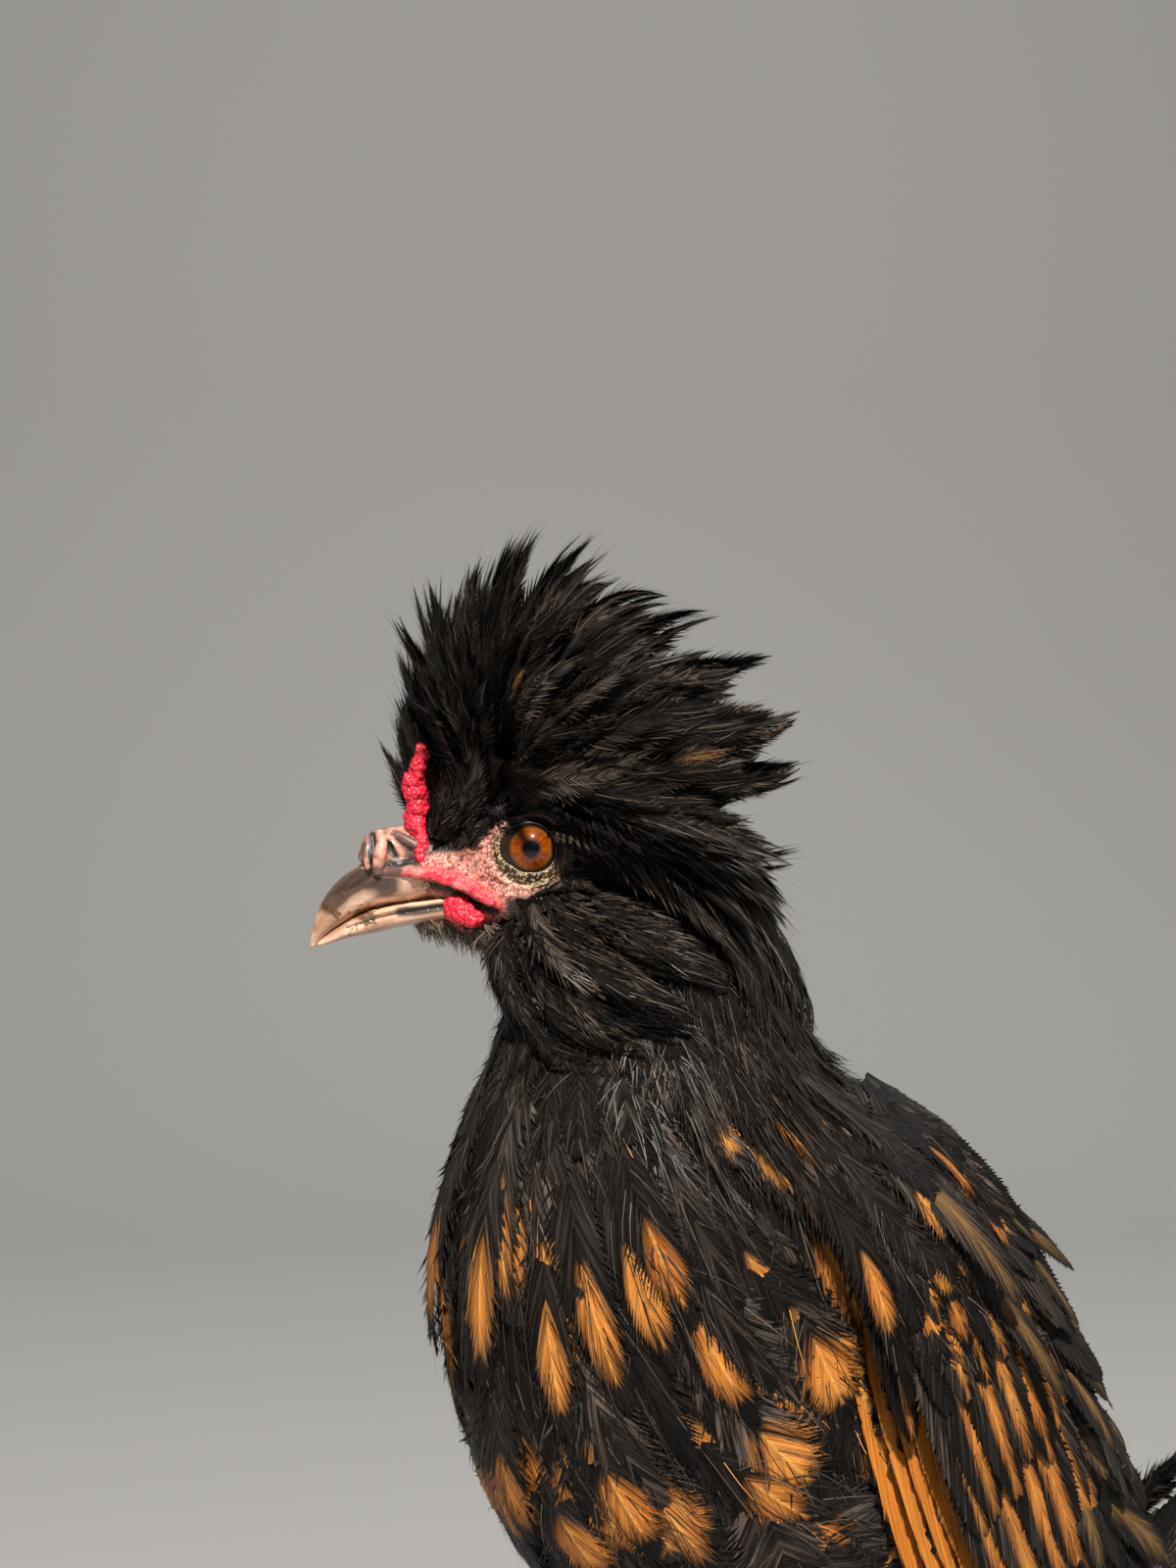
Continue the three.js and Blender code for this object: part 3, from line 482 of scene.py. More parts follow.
def remeshed(piece, voxel, smooth):
    """One closed surface in place of all that crosses in a piece, smoothed some times over."""
    only(piece)
    piece.data.remesh_voxel_size = voxel * MM
    bpy.ops.object.voxel_remesh()
    modifier = piece.modifiers.new("smooth", "SMOOTH")
    modifier.iterations = smooth
    modifier.factor = 0.5
    bpy.ops.object.modifier_apply(modifier="smooth")
    return smooth_shaded(piece)


def finished(piece, finish, slot, *nodes):
    """Gives a piece its finish and its body, and hides the solids that it stands for. The slot is not used.
    """
    piece.data.materials.clear()
    piece.data.materials.append(finish.material)
    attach(piece, "root")
    if nodes:
        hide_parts(*nodes)
    print(piece.name, len(piece.data.polygons), "faces")
    return piece


# %% [markdown]
# ## The skin of the body
# Under the feathers the bird is one skin. The tubes of torso, neck, rump and thighs are joined and
# remeshed into one surface. It lies a few millimetres inside the solids: that is the depth of the coat.

# %% Forms of the body
COAT_DEPTH = 3.5
THIGH_DEPTH = 2
SIDES = {"left": 1, "right": -1}
torso_form = Form([
    (body(0, 0, 294), 28, 27, 32),
    (body(0, 3, 282), 39, 33, 45),
    (body(0, 14, 261), 48, 43, 58),
    (body(0, 32, 231), 52, 53, 62),
    (body(0, 50, 200), 52, 53, 57),
    (body(0, 69, 171), 48, 45, 49),
    (body(0, 92, 152), 36, 28, 33),
    (body(0, 114, 147), 22, 17, 17),
])
neck_form = Form([
    (head(-12, 0, -6), 12, 12, 12),
    (head(-15, 0, -16), 17, 18, 17),
    (body(0, -1.5, 312), 21, 24, 22),
    (body(0, -1, 303), 25, 26, 27),
    (body(0, -0.2, 294.5), 28, 27, 32),
])
rump_form = Form([
    (body(0, 106, 149), 18, 15, 14),
    (body(0, 124, 151), 17, 13, 12),
    (body(0, 136, 154), 10, 8, 7),
])
LEG_SPACING = 30
HOCK_HEIGHT = 88


def thigh_form(side):
    return Form([
        (body(side * 24, 60, 165), 22, 29, 27),
        (body(side * 27, 54, 140), 21, 29, 26),
        (body(side * 29, 55, 117), 17, 21, 19),
        (body(side * LEG_SPACING, 61, 98), 10.5, 12, 11),
        (body(side * LEG_SPACING, 64, HOCK_HEIGHT), 6.4, 6.6, 6.4),
    ])


body_pieces = [
    grown("torso skin", torso_form, 40, 30, COAT_DEPTH),
    grown("neck skin", neck_form, 32, 16, COAT_DEPTH),
    grown("rump skin", rump_form, 24, 8, COAT_DEPTH),
]
body_pieces += [grown("thigh skin", thigh_form(side), 28, 16, THIGH_DEPTH) for side in SIDES.values()]
body_skin = remeshed(joined("body skin", body_pieces), 2.2, 4)
print("body skin", len(body_skin.data.polygons), "faces")

# %% [markdown]
# ## The head's skin
# The face is an egg of a skull, a snout that carries the beak, a red fold from the nostril to the corner
# of the mouth, a brow and a cheek. It is made at a finer grain than the body, because its skin shows.

# %% The head's skin
FOLD_LINE = [
    (27.4, 5.6, -4.9, 0.4), (23.4, 7.1, -4.7, 0.9), (19.2, 8.3, -5.1, 1.15), (14.8, 9.4, -6.2, 1.4),
    (10.9, 10.2, -8.2, 1.7), (7.4, 10.6, -10.6, 1.3)]


def tube_along(name, points, sides=10, rings=14):
    """A round tube through places with a radius each, in mm on the head."""
    return grown(name, Form([(head(a, l, u), r, r) for a, l, u, r in points], RUNS_AHEAD), sides, rings)


def mirrored(points, side):
    return [(a, side * l, *rest) for a, l, *rest in points]


head_pieces = [
    egg(head(-4, 0, -1), (23, 13.9, 16)),
    grown("snout", Form([
        (head(-2, 0, -6), 11, 10, 11),
        (head(10, 0, -5.5), 10.0, 8.6, 10),
        (head(19, 0, -4.5), 7.8, 6.6, 6.0),
        (head(24, 0, -4.6), 6.2, 5, 4.4),
    ], RUNS_AHEAD)),
    grown("throat", Form([
        (head(23, 0, -14.4), 3.0, 1.6, 1.6),
        (head(14, 0, -14.6), 6.0, 2.4, 3.2),
        (head(4, 0, -16), 8.4, 6, 6.5),
        (head(-6, 0, -18), 9, 7, 9),
    ], RUNS_AHEAD)),
]
for side in SIDES.values():
    head_pieces.append(tube_along("fold", mirrored(FOLD_LINE, side), 12, 24))
    head_pieces.append(egg(head(0, side * 10.2, 7.4), (9, 3.8, 2.9)))
    head_pieces.append(egg(head(-3, side * 9.6, -9.5), (11, 4.6, 6)))
head_skin = remeshed(joined("head skin", head_pieces), 0.42, 4)
print("head skin", len(head_skin.data.polygons), "faces")

# %% [markdown]
# ## Marks on the face
# How bare the skin is at a place, how red, how tan and how black, follows from its distance to a few
# lines and one outline, which are drawn on the side view of the head in mm ahead and above. The small
# beads of bare skin are a height over each place: a loose grid has one bead in each of its cells.

# %% Marks on the face
GAPE_LINE = [(20, -7.2), (16, -8.0), (13.6, -8.9), (10.9, -10.6), (7, -12.2)]
LID_LINE = [(6.5, -5.2), (4.75, -6.4), (2.8, -7.3), (1.6, -7.7), (-0.8, -7.1), (-3, -6.3)]
UNDER_WATTLE = [(16, -12.5), (9.5, -14.5)]
BARE_OUTLINE = np.array([
    (29, -1), (21, -1.2), (17, -1.3), (12.8, -0.9), (10.5, 0.9), (8.8, 3.4), (6.8, 4.2), (4.3, 5.2),
    (2, 6.2), (-1, 6.2), (-4, 5.0), (-6, 1.5), (-6, -2.6), (-4.6, -6), (0, -8.6), (5, -9.4), (4.6, -13.4),
    (10, -17), (21, -17), (29, -7)])


def seen_from_side(line):
    return [(ahead, above) for ahead, _, above, *_ in line]


def line_distance(points, line):
    """Distance of side-view points from a line of points."""
    best = np.full(len(points), 1e9)
    for start, end in zip(line[:-1], line[1:]):
        start, span = np.array(start, float), np.array(end, float) - np.array(start, float)
        share = np.clip(((points - start) @ span) / (span @ span), 0, 1)[:, None]
        best = np.minimum(best, np.linalg.norm(points - start - share * span, axis=1))
    return best


def near(points, line, strength, reach):
    """The strength on a line, which drops by 1 over each reach of distance from it, within 0 and 1."""
    return np.clip(strength - line_distance(points, line) / reach, 0, 1)


def outline_depth(points, outline):
    """How far side-view points lie inside an outline, or below 0 outside it."""
    distance = line_distance(points, np.vstack([outline, outline[:1]]))
    x, y = points.T
    inside = np.zeros(len(points), bool)
    for (x0, y0), (x1, y1) in zip(outline, np.roll(outline, -1, axis=0)):
        crosses = (y0 > y) != (y1 > y)
        inside ^= crosses & (x < (x1 - x0) * (y - y0) / (y1 - y0 + 1e-12) + x0)
    return np.where(inside, distance, -distance)


def face_marks(points):
    """How bare, how red, how tan and how black the skin of the face is."""
    flat = points[:, [0, 2]]
    under_jaw = (points[:, 0] > 6) & (points[:, 2] < -12)
    sideways = (abs(points[:, 1]) > 2) | under_jaw
    bare = np.clip(outline_depth(flat, BARE_OUTLINE) / 1.4 + 0.5, 0, 1) * sideways
    reach = np.interp(flat[:, 0], [7, 15, 25, 28], [2.2, 1.9, 1.0, 0.5])
    fold = near(flat, seen_from_side(FOLD_LINE), 1.35, reach) * bare
    # Painted shade: a black line along the sunk crease of the mouth.
    gape = near(flat, GAPE_LINE, 1.4, 0.9) * bare
    ring = np.hypot(flat[:, 0], flat[:, 1])
    tan = np.interp(flat[:, 1] - 0.5 * flat[:, 0], [-3, 1], [1, 0])
    lids = np.clip((8.2 - ring) / 1.2, 0, 1) * tan
    upper_lid = np.clip((6.9 - ring) / 0.6, 0, 1) * (1 - tan) * (abs(points[:, 1]) > 6)
    return bare, fold * (1 - gape), lids, np.maximum(gape, upper_lid)


def beads(points, spacing):
    """Heights from 0 to 1 of beads packed over places in mm, one in each cell of a loose grid."""
    cell = np.floor(points / spacing)
    nearest = np.full(len(points), 9.0)
    for shift in np.ndindex(3, 3, 3):
        spot = cell + np.array(shift) - 1
        mixed = np.sin(spot @ [12.71, 31.17, 7.47])[:, None] * [4375.8, 2257.1, 1964.3]
        spot = spot + mixed - np.floor(mixed)
        nearest = np.minimum(nearest, np.linalg.norm(points / spacing - spot, axis=1))
    return np.clip(1 - nearest * 1.25, 0, 1)


def mixed_beads(points, small, large, shift):
    """Small beads, with larger ones over them."""
    return beads(points, small) + beads(points + shift, large) * 1.2


# %% [markdown]
# ## The face in relief
# The vertices round each eye are pressed to a shallow dish round the ball, so that the lids sit in the
# head and not on it. Fold and lids then get their beads, and the marks are written for the finish.

# %% The face in relief
EYE_OUT = 6.7
EYE_RADIUS = 8.0
INSIDE_LIDS = 9.0
CHEEK_SIDE = 13.2
DISH_WIDTH = 4.6
LID_ANGLES = np.radians([0, 15, 30, 45, 65, 90, 130, 180, 222, 244, 270, 296, 318, 330, 345, 360])
LID_REACH = [6.4, 6.4, 5.9, 5.65, 5.3, 5.1, 4.9, 4.8, 5.2, 5.1, 4.85, 5.1, 5.2, 5.8, 6.3, 6.4]


def lid_opening(angle):
    """Distance of the lids' edge from the middle of the pupil, by the angle round the eye from ahead."""
    return np.interp(np.mod(angle, 2 * math.pi), LID_ANGLES, LID_REACH)


def ball_side(ring):
    """How far out from the middle of the head the eyeball is, at a distance from its own axis."""
    return EYE_OUT + np.sqrt(EYE_RADIUS**2 - np.minimum(ring, 7.4) ** 2)


spots = from_eyes(vertices_of(head_skin))
ring = np.hypot(spots[:, 0], spots[:, 2])
opening = lid_opening(np.arctan2(spots[:, 2], spots[:, 0]))
gap = np.clip((ring - opening) / DISH_WIDTH, 0, 1)
settled = (ball_side(ring) + 0.5 + gap * 0.5) * (1 - gap) + CHEEK_SIDE * gap
dish = np.where(ring < opening - 0.25, INSIDE_LIDS, settled)
pressed = np.where(ring < opening + 1.6, dish, np.minimum(abs(spots[:, 1]), dish))
round_eye = (ring < opening + 4.2) & (abs(spots[:, 1]) > 6)
spots[:, 1] = np.where(round_eye, np.sign(spots[:, 1]) * pressed, spots[:, 1])
set_places(head_skin, head_places(spots))

flat = spots[:, [0, 2]]
bare, fold, lids, gape = face_marks(spots)
second_lid = near(flat, LID_LINE, 1, 0.8) * (abs(spots[:, 1]) > 5)
lid_beads = beads(spots, 0.62)
relief = fold * mixed_beads(spots, 1.0, 2.3, 5) * 0.5
relief += lids * lid_beads * 0.16
relief += second_lid * 0.5
relief += bare * (1 - fold) * beads(spots, 0.9) * 0.14 - gape * 0.35
raised(head_skin, relief)
marks = {
    "bare": bare,
    "red": np.maximum(fold, near(flat, UNDER_WATTLE, 1.6, 2.2) * bare),
    "tan": lids,
    "black": gape,
    "pale": np.clip(second_lid * 1.4, 0, 1) * lid_beads**0.5,
    "flush": near(flat, seen_from_side(FOLD_LINE), 1.6, 2.6) * (spots[:, 0] > 12),
}
write_marks(head_skin, **marks)
write_marks(body_skin, **dict.fromkeys(marks, np.zeros(len(body_skin.data.vertices))))
print("highest relief", round(float(relief.max()), 2), "mm")

# %% [markdown]
# ## The skin's finish
# Bare skin is pink with dark pits, crimson on the fold, tan and speckled on the lids, and each of these
# is laid over the last by its mark. Under the feathers the skin is black, so no gap in the coat is pale.

# %% The skin's finish
skin_finish = look = Finish("skin", Subsurface_Weight=0.1, Subsurface_Scale=0.002)
grain = look.noise(900, 4.0)
pits = look.cells(1600)
patches = look.noise(260, 3.0)
pink = look.between(patches, 0.35, 0.7, (0.58, 0.19, 0.145), (0.78, 0.40, 0.30))
pink = look.between(pits, 0.45, 0.8, pink, (0.10, 0.032, 0.028), most=0.8)
red_skin = look.between(pits, 0.2, 0.75, (0.92, 0.085, 0.11), (0.6, 0.012, 0.03))
red_skin = look.between(patches, 0.5, 0.68, red_skin, (0.92, 0.32, 0.27), most=0.5)
tan_skin = look.between(pits, 0.3, 0.55, (0.50, 0.33, 0.16), (0.02, 0.014, 0.010))
tan_skin = look.blend(look.attribute("pale"), tan_skin, (0.85, 0.66, 0.42))
surface = look.blend(look.attribute("flush") * 0.75, pink, (0.84, 0.20, 0.17))
# The black mark is painted shade in the mouth's crease, and the dark skin of the upper lid.
for mark, tint in (("red", red_skin), ("tan", tan_skin), ("black", (0.012, 0.009, 0.009))):
    surface = look.blend(look.attribute(mark), surface, tint)
covered = look.blend(grain, (0.010, 0.007, 0.006), (0.028, 0.020, 0.017))
look.set("Base Color", look.blend(look.attribute("bare"), covered, surface))
look.bump(pits * -1 + grain * 0.6, 0.0003, 0.7)
skin = joined("skin", [body_skin, head_skin])
finished(skin, skin_finish, "face", "torso", "neck", "head", "thigh_left", "thigh_right")

# %% [markdown]
# ## The eye's finish
# A hen's eye is a ball with a clear bulge, and what is seen of it is the orange iris round a black
# pupil. The ball carries a map of its front, seen along its own axis, on which the iris is drawn as
# rings and rays, from the outside in. A clear coat gives the wet shine.

# %% The eye's finish
IRIS_RADIUS = 4.15
PUPIL_RADIUS = 1.6
IRIS_MAP = 20

eye_finish = look = Finish("eye", 0.3, Specular_IOR_Level=0.05, Coat_Weight=0.6, Coat_Roughness=0.015)
ahead_of, above_of, _ = look.split(look.node("ShaderNodeUVMap", {"uv_map": "Iris"}))
ahead_of = (ahead_of - 0.5) * IRIS_MAP
above_of = (above_of - 0.5) * IRIS_MAP
ring = (ahead_of * ahead_of + above_of * above_of).math("SQRT")
turn = above_of.math("ARCTAN2", ahead_of)
rays = look.noise(1.0, 3.0, look.vector(turn * 5, ring * 0.5, 1.0))
clouds = look.noise(1.0, 2.0, look.vector(turn * 1.2, ring * 1.1, 4.0))
amber = look.between(rays, 0.35, 0.7, (0.12, 0.019, 0.001), (0.29, 0.066, 0.004))
amber = look.between(clouds, 0.42, 0.75, amber, (0.12, 0.012, 0.002), most=0.8)
amber = look.between(ring, IRIS_RADIUS - 1.0, IRIS_RADIUS - 0.3, amber, (0.20, 0.085, 0.010), most=0.4)
near_pupil = 1 - look.ramp(ring, PUPIL_RADIUS, PUPIL_RADIUS + 0.8)
amber = look.blend(near_pupil * 0.8, amber, (0.04, 0.013, 0.005))
to_corner = look.ramp(ahead_of + clouds * 0.8, IRIS_RADIUS - 0.2, IRIS_RADIUS + 1.4)
corner = look.blend(to_corner, (0.010, 0.007, 0.006), (0.028, 0.015, 0.010))
amber = look.between(ring + rays * 0.3, IRIS_RADIUS - 0.3, IRIS_RADIUS + 0.3, amber, corner)
pupil = 1 - look.ramp(ring, PUPIL_RADIUS - 0.12, PUPIL_RADIUS + 0.12)
look.set("Base Color", look.blend(pupil, amber, (0.0015, 0.002, 0.004)))

lid_finish = Finish("lid rim", 0.3, Coat_Weight=0.5, Coat_Roughness=0.2)
rim_colour = lid_finish.blend(lid_finish.attribute("bead"), (0.03, 0.02, 0.015), (0.62, 0.50, 0.36))
rim_colour = lid_finish.blend(lid_finish.attribute("upper"), rim_colour, (0.010, 0.008, 0.008))
lid_finish.set("Base Color", rim_colour)
lid_finish.bump(lid_finish.noise(1500, 3.0), 0.0002, 0.7)
print("materials", len(bpy.data.materials))

# %% [markdown]
# ## Eyes
# The ball is swollen a little in front of the iris. The rim of the lids is a thin ring that follows
# their opening. It is beaded below, and smooth and black above.

# %% Eyes
CORNEA = 0.45
LID_BEADS = 54
LID_THICKNESS = 0.24
LID_MAJOR = 5


def eyeball(name, side):
    ball = egg(head(0, side * EYE_OUT, 0), (EYE_RADIUS,) * 3, segments=96)
    ball.name = f"eyeball_{name}"
    spots = from_eyes(vertices_of(ball))
    facing = side * spots[:, 1] - EYE_OUT
    ring = np.hypot(spots[:, 0], spots[:, 2])
    bulge = np.where(facing > 0, np.clip(1 - (ring / (IRIS_RADIUS + 0.5)) ** 2, 0, 1), 0)
    spots[:, 1] += side * CORNEA * bulge
    set_places(ball, head_places(spots))
    iris = ball.data.uv_layers.new(name="Iris")
    corner = np.zeros(len(ball.data.loops), int)
    ball.data.loops.foreach_get("vertex_index", corner)
    flat = np.where(facing[:, None] > 0, spots[:, [0, 2]] / IRIS_MAP + 0.5, 0.0)
    iris.data.foreach_set("uv", flat[corner].astype(np.float32).ravel())
    return smooth_shaded(ball)


def lid_rim(name, side):
    bpy.ops.object.select_all(action="DESELECT")
    bpy.ops.mesh.primitive_torus_add(
        major_segments=276, minor_segments=12, major_radius=LID_MAJOR, minor_radius=LID_THICKNESS)
    rim = bpy.context.object
    rim.name = f"lid_rim_{name}"
    x, y, z = vertices_of(rim).T
    angle = np.arctan2(y, x)
    lower = np.clip((0.1 + np.cos(angle) * 0.5 - np.sin(angle)) * 1.6, 0, 1)
    bead = np.sin(angle * LID_BEADS) * 0.5 + 0.5
    thick = 1 + (0.5 * bead - 0.25) * (0.35 + 0.65 * lower)
    at = lid_opening(angle) + (np.hypot(x, y) - LID_MAJOR) * thick - LID_THICKNESS * 0.4
    height = ball_side(at) + 0.3 + z * thick
    set_places(rim, head_places(np.stack([at * np.cos(angle), side * height, at * np.sin(angle)], axis=1)))
    outward(rim)
    write_marks(rim, upper=1 - lower, bead=bead)
    return smooth_shaded(rim)


for name, side in SIDES.items():
    finished(eyeball(name, side), eye_finish, "eye", f"eye_{name}")
    finished(lid_rim(name, side), lid_finish, "face")

# %% [markdown]
# ## The horn's finish
# The beak is horn, pale at the tip and edges and slate brown on its back, worn and a little dirty. Its
# fibres run ahead and down to the tip, so their noise is stretched along that line.

# %% The horn's finish
beak_finish = look = Finish("horn of the beak", 0.3, Coat_Roughness=0.2)
x, y, up_of = look.split(look.place())
ahead_of = x * AHEAD.x + y * AHEAD.y
left_of = x * LEFT.x + y * LEFT.y
cloud = look.noise(240, 4.0)
dirt = look.noise(700, 5.0)
fibre = look.noise(330, 3.0, look.vector(ahead_of * 0.16, left_of, up_of + ahead_of * 0.4))
veins = look.noise(230, 4.0)
horn = look.between(fibre, 0.38, 0.62, (0.42, 0.22, 0.14), (0.88, 0.59, 0.43))
fleshy = look.between(veins + fibre * 0.25, 0.57, 0.72, (0.12, 0.065, 0.055), (0.68, 0.31, 0.23))
fleshy_share = look.attribute("flesh")
horn = look.blend(fleshy_share, horn, fleshy)
slate_tint = look.between(fibre, 0.4, 0.65, (0.012, 0.008, 0.007), (0.055, 0.034, 0.026))
slate = look.attribute("slate") + (cloud - 0.5) * 0.5 + (fibre - 0.5) * 1.5
horn = look.between(slate, 0.1, 0.8, horn, slate_tint, most=0.95)
dirt_tint = look.blend(cloud, (0.02, 0.012, 0.008), (0.2, 0.08, 0.02))
horn = look.between(dirt + look.attribute("crust") * 0.3, 0.62, 0.7, horn, dirt_tint, most=0.85)
# Painted shade: the hollows of the nostril slits are painted near black.
look.set("Base Color", look.blend(look.attribute("hollow"), horn, (0.010, 0.007, 0.006)))
look.set("Roughness", look.ramp(dirt, 0.2, 0.9, 0.3) + fleshy_share * 0.2 + 0.18)
look.set("Coat Weight", 0.7 - fleshy_share * 0.6)
look.bump(dirt * 0.5 + fibre * 0.6 + veins * fleshy_share, 0.0004, 0.6)

# %% [markdown]
# ## Beak
# At its root the beak of a crested breed has a raised knob with wide, cave-like nostrils. Both halves
# are tubes grown through stations. The knob's bulbs and folds are joined to the upper half, and the
# nostrils are cut out of it, before one more remesh rounds every joint.

# %% Beak
upper_form = Form([
    (head(16, 0, -3.9), 7.2, 5, 5.3),
    (head(25, 0, -4.8), 6.9, 4.8, 6.0),
    (head(31, 0, -6.6), 5.8, 4.0, 5.0),
    (head(35.5, 0, -9.3), 4.7, 3.6, 4.1),
    (head(39.2, 0, -12.9), 3.4, 2.8, 2.8),
    (head(41.8, 0, -16.2), 2.0, 1.2, 1.6),
    (head(43.2, 0, -19.6), 0.5, 0.5),
], RUNS_AHEAD)
lower_form = Form([
    (head(12, 0, -11.4), 6.9, 2.8, 2.8),
    (head(24, 0, -12.8), 5.7, 2.5, 2.4),
    (head(31.5, 0, -14.5), 4.4, 2.3, 2.3),
    (head(36.5, 0, -16.2), 3.0, 1.6, 1.5),
    (head(40.4, 0, -18.2), 1.5, 0.8, 0.8),
    (head(42, 0, -19.2), 0.4, 0.4),
], RUNS_AHEAD)
LOWER_EDGE = [(16, 6.7, -10.2, 0.6), (28, 5.2, -12.2, 0.6), (36, 3.0, -15.2, 0.45)]
KNOB_EGGS = [
    ((27.6, 1.6, -0.8), (4.8, 4.6, 4.6)), ((24.6, 1.6, 0.0), (4.6, 4.4, 4.3)),
    ((30.4, 1.5, -0.8), (3.2, 3.2, 4.0)), ((32.3, 1.9, -1.7), (1.7, 2.2, 1.9)),
    ((26.0, 3.4, -3.6), (4.2, 3.0, 2.2)), ((21.2, 4.2, -1.2), (3.4, 2.4, 2.6))]
KNOB_FOLDS = [
    [(29.4, 4.3, 3.1, 0.9), (29.0, 5.9, 0.3, 1.2), (29.4, 6.2, -2.4, 1.35), (29.6, 6.0, -5.2, 1.15)],
    [(27.0, 4.9, 3.0, 0.7), (24.6, 5.9, 1.6, 1.0), (22.0, 6.5, 0.3, 0.9)],
    [(28.4, 6.0, -4.9, 0.7), (25.2, 6.9, -4.4, 1.0), (21.2, 7.4, -3.9, 0.9)],
    [(32.0, 3.4, 1.4, 0.5), (32.0, 4.3, -1.4, 0.8), (31.6, 4.9, -4.4, 0.7)],
]
NOSTRIL_CUTS = [
    [(27.6, 5.3, 1.0, 0.35), (27.2, 6.0, -0.6, 0.95), (26.3, 6.4, -1.7, 0.8)],
    [(27.4, 6.5, -3.1, 0.6), (25.3, 7.2, -3.1, 0.7), (22.7, 7.6, -2.5, 0.35)],
    [(31.0, 3.6, 2.4, 0.35), (30.6, 5.0, -0.4, 0.55), (30.8, 5.6, -3.1, 0.55), (31.2, 5.5, -5.2, 0.4)],
]


def cut(piece, tools):
    for tool in tools:
        only(piece)
        modifier = piece.modifiers.new("cut", "BOOLEAN")
        modifier.operation = "DIFFERENCE"
        modifier.solver = "EXACT"
        modifier.object = tool
        bpy.ops.object.modifier_apply(modifier="cut")
        bpy.data.objects.remove(tool)


upper_pieces = [grown("upper beak", upper_form, 36, 40)]
for side in SIDES.values():
    upper_pieces += [egg(head(a, side * l, u), half) for (a, l, u), half in KNOB_EGGS]
    upper_pieces += [tube_along("fold", mirrored(line, side), 12, 16) for line in KNOB_FOLDS]
upper_beak = remeshed(joined("upper_beak", upper_pieces), 0.32, 3)
slits = [mirrored(line, side) for side in SIDES.values() for line in NOSTRIL_CUTS]
cut(upper_beak, [tube_along("slit", slit, 10, 12) for slit in slits])
remeshed(upper_beak, 0.26, 2)
lower_pieces = [grown("lower_beak", lower_form, 36, 30)]
lower_pieces += [tube_along("edge", mirrored(LOWER_EDGE, side)) for side in SIDES.values()]
lower_beak = remeshed(joined("lower_beak", lower_pieces), 0.3, 2)
print("beak", len(upper_beak.data.polygons), "and", len(lower_beak.data.polygons), "faces")

# %% [markdown]
# ## Marks on the beak
# Slate on its back, flesh behind a line across the knob, painted shade in the slits' hollows and two
# patches of dried crumbs: all are distances from lines again. The crumbs also stand up a little.

# %% Marks on the beak
SLATE_LINES = {
    "beak_upper": ([(39.4, -10.8), (36.4, -7.8), (33, -6.0), (28, -6.6)], 1.5, 2.5),
    "beak_lower": ([(25.5, -12.5), (21, -12.1), (15, -11.2)], 1.3, 1.1),
}
CRUST_LINES = (([(33, -13), (31.6, -13.6)], 1.4, 1.7), ([(39.8, -11.4), (38.0, -13.2)], 1.2, 1.3))
CRUMB_HEIGHT = 0.45


def mark_beak(piece, node, hollows):
    spots = from_eyes(vertices_of(piece))
    flat = spots[:, [0, 2]]
    # Painted shade: how near a place is to a nostril's slit, for the near-black paint in its hollow.
    hollow_shade = np.zeros(len(spots))
    for line in hollows:
        hollow_shade = np.maximum(hollow_shade, near(flat, seen_from_side(line), 1.6, 0.7))
    hollow_shade *= abs(spots[:, 1]) < np.interp(spots[:, 0], [22, 27.5, 30.5], [7.6, 6.3, 5.2])
    crust = np.maximum(*(near(flat, *line) for line in CRUST_LINES))
    raised(piece, crust * beads(spots, 0.8) * CRUMB_HEIGHT)
    edge = np.interp(spots[:, 0], [18, 27.5, 31, 34, 36.5], [-4.6, -5.6, -5.2, -3.4, 2])
    flesh = np.clip(spots[:, 2] - edge + 0.5, 0, 1)
    slate = near(flat, *SLATE_LINES[node]) * (1 - flesh)
    write_marks(piece, flesh=flesh, slate=slate, hollow=hollow_shade, crust=crust)
    finished(piece, beak_finish, "horn", node)


mark_beak(upper_beak, "beak_upper", NOSTRIL_CUTS)
mark_beak(lower_beak, "beak_lower", [])

# %% [markdown]
# ## Comb and wattles
# The comb of this breed is two small horns, and its skin is a crowd of little beads. Each horn is a
# column of eggs, which a remesh melts together before the beads are raised on it. The wattles are made
# in the same way, and the crimson skin lets a little light in.

# %% Comb and wattles
COMB_LINE = np.array([
    (-1.6, 21.6, 6.6, 0.7), (1.0, 21.3, 5.6, 0.7), (2.6, 21.7, 4.9, 0.9), (4, 22.9, 4.2, 1.85),
    (5.4, 22.7, 4.4, 1.9), (7, 22.6, 4.6, 2.15), (8.6, 22.2, 4.9, 1.95), (10.2, 22.5, 5.2, 2.1),
    (11.2, 23.1, 5.4, 2.4), (12.8, 23.0, 5.7, 2.1), (14.2, 22.1, 6.8, 1.3), (16.2, 21.7, 7.6, 1.2),
    (18.2, 21.1, 8.4, 1.1), (19, 21.0, 8.6, 0.8)])
WATTLE_EGGS = [
    ((14.9, 8.2, -11.6), (1.9, 1.4, 2.3)), ((13.3, 8.8, -12.4), (2.7, 1.6, 2.3)),
    ((11.4, 9.3, -13.4), (2.2, 1.4, 1.6)), ((14.0, 8.3, -10.3), (1.9, 1.2, 1.1))]

comb_finish = Finish("comb", 0.36, Subsurface_Weight=0.08, Subsurface_Scale=0.002)
comb_grain = comb_finish.cells(1500)
crimson = comb_finish.between(comb_grain, 0.15, 0.8, (0.88, 0.04, 0.075), (0.5, 0.004, 0.02))
comb_finish.set("Base Color", crimson)
comb_finish.bump(comb_grain * -1, 0.0005, 0.7)


def comb_at(above):
    """How far ahead and aside the middle of a comb's horn is, and its half size, by height."""
    return (np.interp(above, COMB_LINE[:, 0], COMB_LINE[:, k]) for k in (1, 2, 3))


